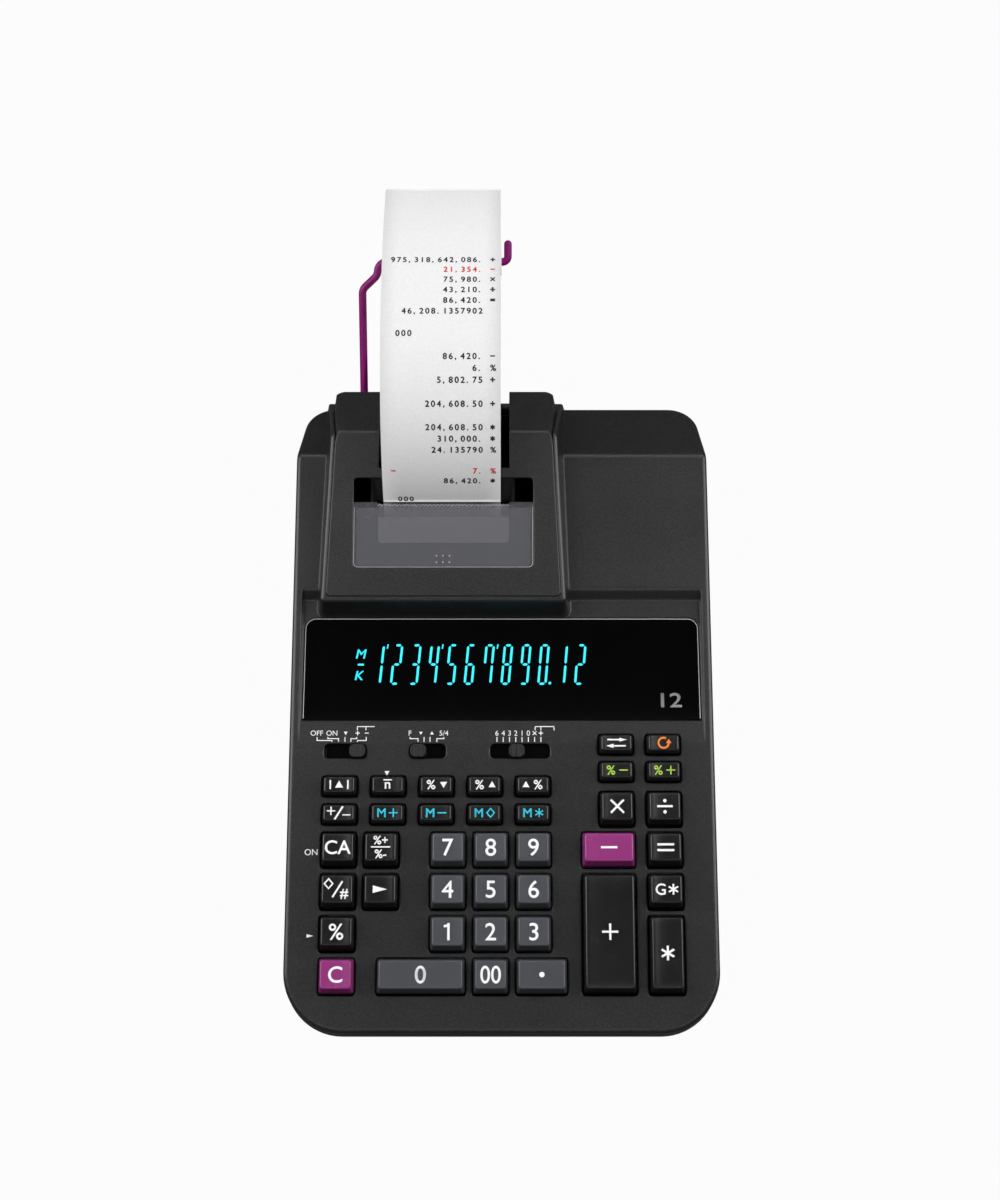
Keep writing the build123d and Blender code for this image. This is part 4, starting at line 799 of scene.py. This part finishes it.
def tearBacking():
    # grey inner deck under the window: it leaves open only the strip in front of the cutter where tape shows
    low, high, far, rear = tearing["left"], tearing["right"], tearing["openFrom"], tearing["deckRear"]
    left, right, front = tearing["deckLeft"], tearing["deckRight"], tearing["deckFront"]
    outline = np.array([(left, front), (right, front), (right, rear), (high, rear), (high, far), (low, far),
                        (low, rear), (left, rear)])
    count = len(outline)
    layers = np.concatenate([outline, outline])
    off = np.repeat([-tearing["under"], -tearing["under"] - tearing["deckThick"]], count)
    faces = gridFaces(2, count, True) + [list(range(count)), list(range(2 * count - 1, count - 1, -1))]
    flatPiece("tearBacking", coverTop, (layers, faces), off, "innerDeck", "cover")


def tearPane():
    # thin pane in the window's step: its front corners are rounded like the step's
    left, right = tearing["left"] + tearing["margin"], tearing["right"] - tearing["margin"]
    near = roundedFront(left, right, tearing["front"] + tearing["margin"], tearing["corner"])
    far = tearing["cutter"] - tearing["toothHeight"]
    points = np.concatenate([near, [(right, far), (left, far)]])
    return "tearPane", (points, [list(range(len(points)))]), tearing["paneLift"] - tearing["sunk"], "tearThin"


def tearTeeth():
    # painted highlight: a light line that zigzags along the teeth, for the light their cut edge catches
    steps = np.arange(2 * tearing["teeth"] + 1)
    line = np.stack([tearing["left"] + steps * tearing["toothPitch"] / 2,
                     tearing["cutter"] - tearing["toothHeight"] * (steps % 2 == 0)], -1)
    lift = tearing["toothLift"] - tearing["sunk"]
    return "tearTeeth", ribbon(line, tearing["toothWidth"]), lift, "edgeLight"


def tearRim():
    # painted highlight: light caught by the plate's rounded front edge
    inset, rear = tearing["rimInset"], tearing["deckRear"]
    left, right = tearing["deckLeft"] + inset, tearing["deckRight"] - inset
    near = roundedFront(left, right, tearing["deckFront"] + inset, tearing["rimCorner"])
    line = np.concatenate([[(left, rear)], near, [(right, rear)]])
    return "tearRim", ribbon(line, tearing["rimWidth"]), tearing["rimLift"], "rim"


def gripDots():
    # two rows of three low dots for a fingertip, drawn in the light edge colour: painted highlights on the
    # grip marks
    x, up, step = tearing["gripX"], tearing["gripUp"], tearing["gripStep"]
    shapes = [disc(x + column * step, up + row * step, tearing["gripRadius"], 10)
              for column in (-1, 0, 1) for row in (-0.5, 0.5)]
    return "gripDots", joinShapes(shapes), -tearing["gripSunk"], "edgeLight"


tearBacking()
for name, shape, off, finish in (tearPane(), tearTeeth(), tearRim(), gripDots()):
    flatPiece(name, coverTop, shape, off, finish, "cover")
print("tear window")

# marks on the keyboard: switch scales and the marks beside keys
marks = dict(lift=0.04, figure=2.5, row=141.4, line=0.42, tickTop=139.5, tickFoot=137.1, lead=138.7,
             lowLead=137.8, bracket=144.6, bracketFoot=1.6, footDrop=1.0, slotRow=132.6, sliderTop=-2.45,
             sliderDepth=8.0, sliderMargin=0.1)


def boardPrint(name, shapes):
    flatPiece(name, keyboard, joinShapes(shapes), marks["lift"], "white", "casing")


def leadLine(fromX, toX, level):
    # hairline from under a sign, along to its stop and down to the slot
    top, foot = marks["tickTop"], marks["tickFoot"]
    return ribbon([(fromX, top), (fromX, level), (toX, level), (toX, foot)], marks["line"])


def tick(x):
    top, foot = marks["tickTop"], marks["tickFoot"]
    return bar(x, (top + foot) / 2, marks["line"], top - foot)


def bracket(fromX, toX, feet):
    # a line over several signs, with a short foot down to each
    top = marks["bracket"]
    shapes = [bar((fromX + toX) / 2, top, toX - fromX, marks["line"])]
    return shapes + [bar(x, top - marks["footDrop"], marks["line"], marks["bracketFoot"]) for x in feet]


row, figure, lead, lowLead = marks["row"], marks["figure"], marks["lead"], marks["lowLead"]
boardPrint("modeScale", [
    lettering("OFF", figure, -89.6, row), lettering("ON", figure, -82.3, row),
    signShape("down", 2.4, -75.6, row), signShape("plus", 2.1, -69.8, row, 0.2),
    signShape("minus", 1.9, -65.4, row, 0.22), leadLine(-89.4, -82.2, lowLead), leadLine(-84.2, -79.0, lead),
    tick(-75.9), leadLine(-70.2, -73.0, lead), leadLine(-65.6, -69.8, lowLead)]
    + bracket(-70.2, -61.6, (-70.0, -65.8)))
boardPrint("roundingScale", [
    lettering("F", figure, -44.4, row), signShape("down", 2.2, -39.2, row), signShape("up", 2.2, -33.8, row),
    lettering("5/4", figure, -28.0, row), leadLine(-44.4, -40.5, lead), tick(-37.6), tick(-34.7),
    leadLine(-28.0, -31.4, lead)])
stops = np.linspace(-2.3, 19.0, 8)
boardPrint("decimalScale", [lettering(figureText, figure, x, row) for figureText, x in zip("643210", stops)]
           + [signShape("times", 2.2, stops[6], row, 0.18), signShape("plus", 2.1, stops[7], row, 0.2)]
           + [tick(x) for x in stops] + bracket(16.2, 25.4, (16.2, 19.0, 25.4)))
boardPrint("besideKeys", [lettering("ON", 2.9, -91.0, 84.0), signShape("right", 3.2, -90.6, 44.6),
                          signShape("down", 3.0, -55.3, 122.0)])

# painted shade: a near-black top on each knob's slider strip, which is what shows through its slot, stands
# for the shade down in the slot: middle and half length
sliders = {"mode_knob": (-69.7, 15.0), "rounding_knob": (-39.2, 12.9), "decimal_knob": (7.284, 16.0)}
for slider, (middle, half) in sliders.items():
    top = bar(middle, marks["slotRow"], 2 * (half - marks["sliderMargin"]), marks["sliderDepth"])
    flatPiece(slider + "_paintedSlotShade", keyboard, top, marks["sliderTop"], "paintedSlotShade", slider)
print("scales")

# camera, floor and light
view = dict(lens=54.72, sensor=36.0, shiftX=-0.0014, nearest=0.01, below=66.0, place=(0.0, -0.3657, 0.87815))
camera = bpy.data.objects.new("camera", bpy.data.cameras.new("camera"))
camera.data.lens = view["lens"]
camera.data.sensor_width = view["sensor"]
camera.data.shift_x = view["shiftX"]
camera.data.clip_start = view["nearest"]
camera.location = view["place"]
camera.rotation_euler = (math.radians(90 - view["below"]), 0, 0)
bpy.context.scene.collection.objects.link(camera)
bpy.context.scene.camera = camera


def paleBacking(tree, shader, strength):
    # seen straight or through clear plastic, the backing is nearly plain white
    path = addNode(tree, "ShaderNodeLightPath").outputs
    either = addNode(tree, "ShaderNodeMath", {0: path["Is Camera Ray"], 1: path["Is Transmission Ray"]},
                     operation="MAXIMUM")
    part = addNode(tree, "ShaderNodeMath", {0: either.outputs["Value"], 1: strength}, operation="MULTIPLY")
    glow = addNode(tree, "ShaderNodeEmission", {"Color": (1.0, 1.0, 1.0, 1.0), "Strength": 1.0})
    return addNode(tree, "ShaderNodeMixShader", {"Fac": part.outputs["Value"], 1: shader,
                                                 2: glow.outputs["Emission"]})


def paleFloor():
    finish, tree = newFinish("paleFloor")
    matt = addNode(tree, "ShaderNodeBsdfDiffuse", {"Color": srgb("#5c5c5c")})
    closeFinish(tree, paleBacking(tree, matt.outputs["BSDF"], 0.97).outputs["Shader"])
    mesh = bpy.data.meshes.new("floor")
    half = 3.0
    corners = [(-half, -half, 0), (half, -half, 0), (half, half, 0), (-half, half, 0)]
    mesh.from_pydata(corners, [], [(0, 1, 2, 3)])
    mesh.materials.append(finish)
    floor = bpy.data.objects.new("floor", mesh)
    bpy.context.scene.collection.objects.link(floor)


paleFloor()
world = bpy.data.worlds.new("softRoom")
world.use_nodes = True
tree = world.node_tree
tree.nodes.clear()
# the room is dark overhead and brighter towards the horizon; the camera sees it plain white
path = addNode(tree, "ShaderNodeLightPath")
aim = addNode(tree, "ShaderNodeTexCoord").outputs["Generated"]
climb = addNode(tree, "ShaderNodeSeparateXYZ", {"Vector": aim}).outputs["Z"]
room = addNode(tree, "ShaderNodeMapRange", {"Value": climb, "From Min": 0.1, "From Max": 0.9, "To Min": 0.12,
                                            "To Max": 0.04})
level = addNode(tree, "ShaderNodeMix", {"Factor": path.outputs["Is Camera Ray"],
                                        "A": room.outputs["Result"], "B": 1.0})
sky = addNode(tree, "ShaderNodeBackground", {"Color": (1.0, 1.0, 1.0, 1.0),
                                             "Strength": level.outputs["Result"]})
addNode(tree, "ShaderNodeOutputWorld", {"Surface": sky.outputs["Background"]})
bpy.context.scene.world = world


def softLamp(name, place, size, watts):
    # a rectangle of light, its sides in metres, turned towards the middle of the machine
    target = (0, 0, 0.04)
    data = bpy.data.lights.new(name, "AREA")
    data.shape = "RECTANGLE"
    data.size, data.size_y = size
    data.energy = watts
    lamp = bpy.data.objects.new(name, data)
    lamp.location = place
    aim = np.array(target) - np.array(place)
    lamp.rotation_euler = (math.acos(-aim[2] / np.linalg.norm(aim)), 0, math.atan2(-aim[0], aim[1]))
    bpy.context.scene.collection.objects.link(lamp)


# two broad side panels light it; thin strips put a soft line down the dished keys, the ridges and the crest
for side in (-1, 1):
    softLamp("sidePanel", (side * 1.15, 0.05, 1.05), (0.8, 1.5), 18)
    softLamp("keyStrip", (side * 0.13, 0.0, 1.2), (0.05, 1.2), 0.25)
softLamp("frontStrip", (0.0, -0.72, 1.15), (1.5, 0.15), 2.2)
softLamp("rearStrip", (0.0, 0.6, 1.2), (1.2, 0.1), 2.6)
bpy.context.scene.view_settings.view_transform = "Standard"
print("camera, floor and light")
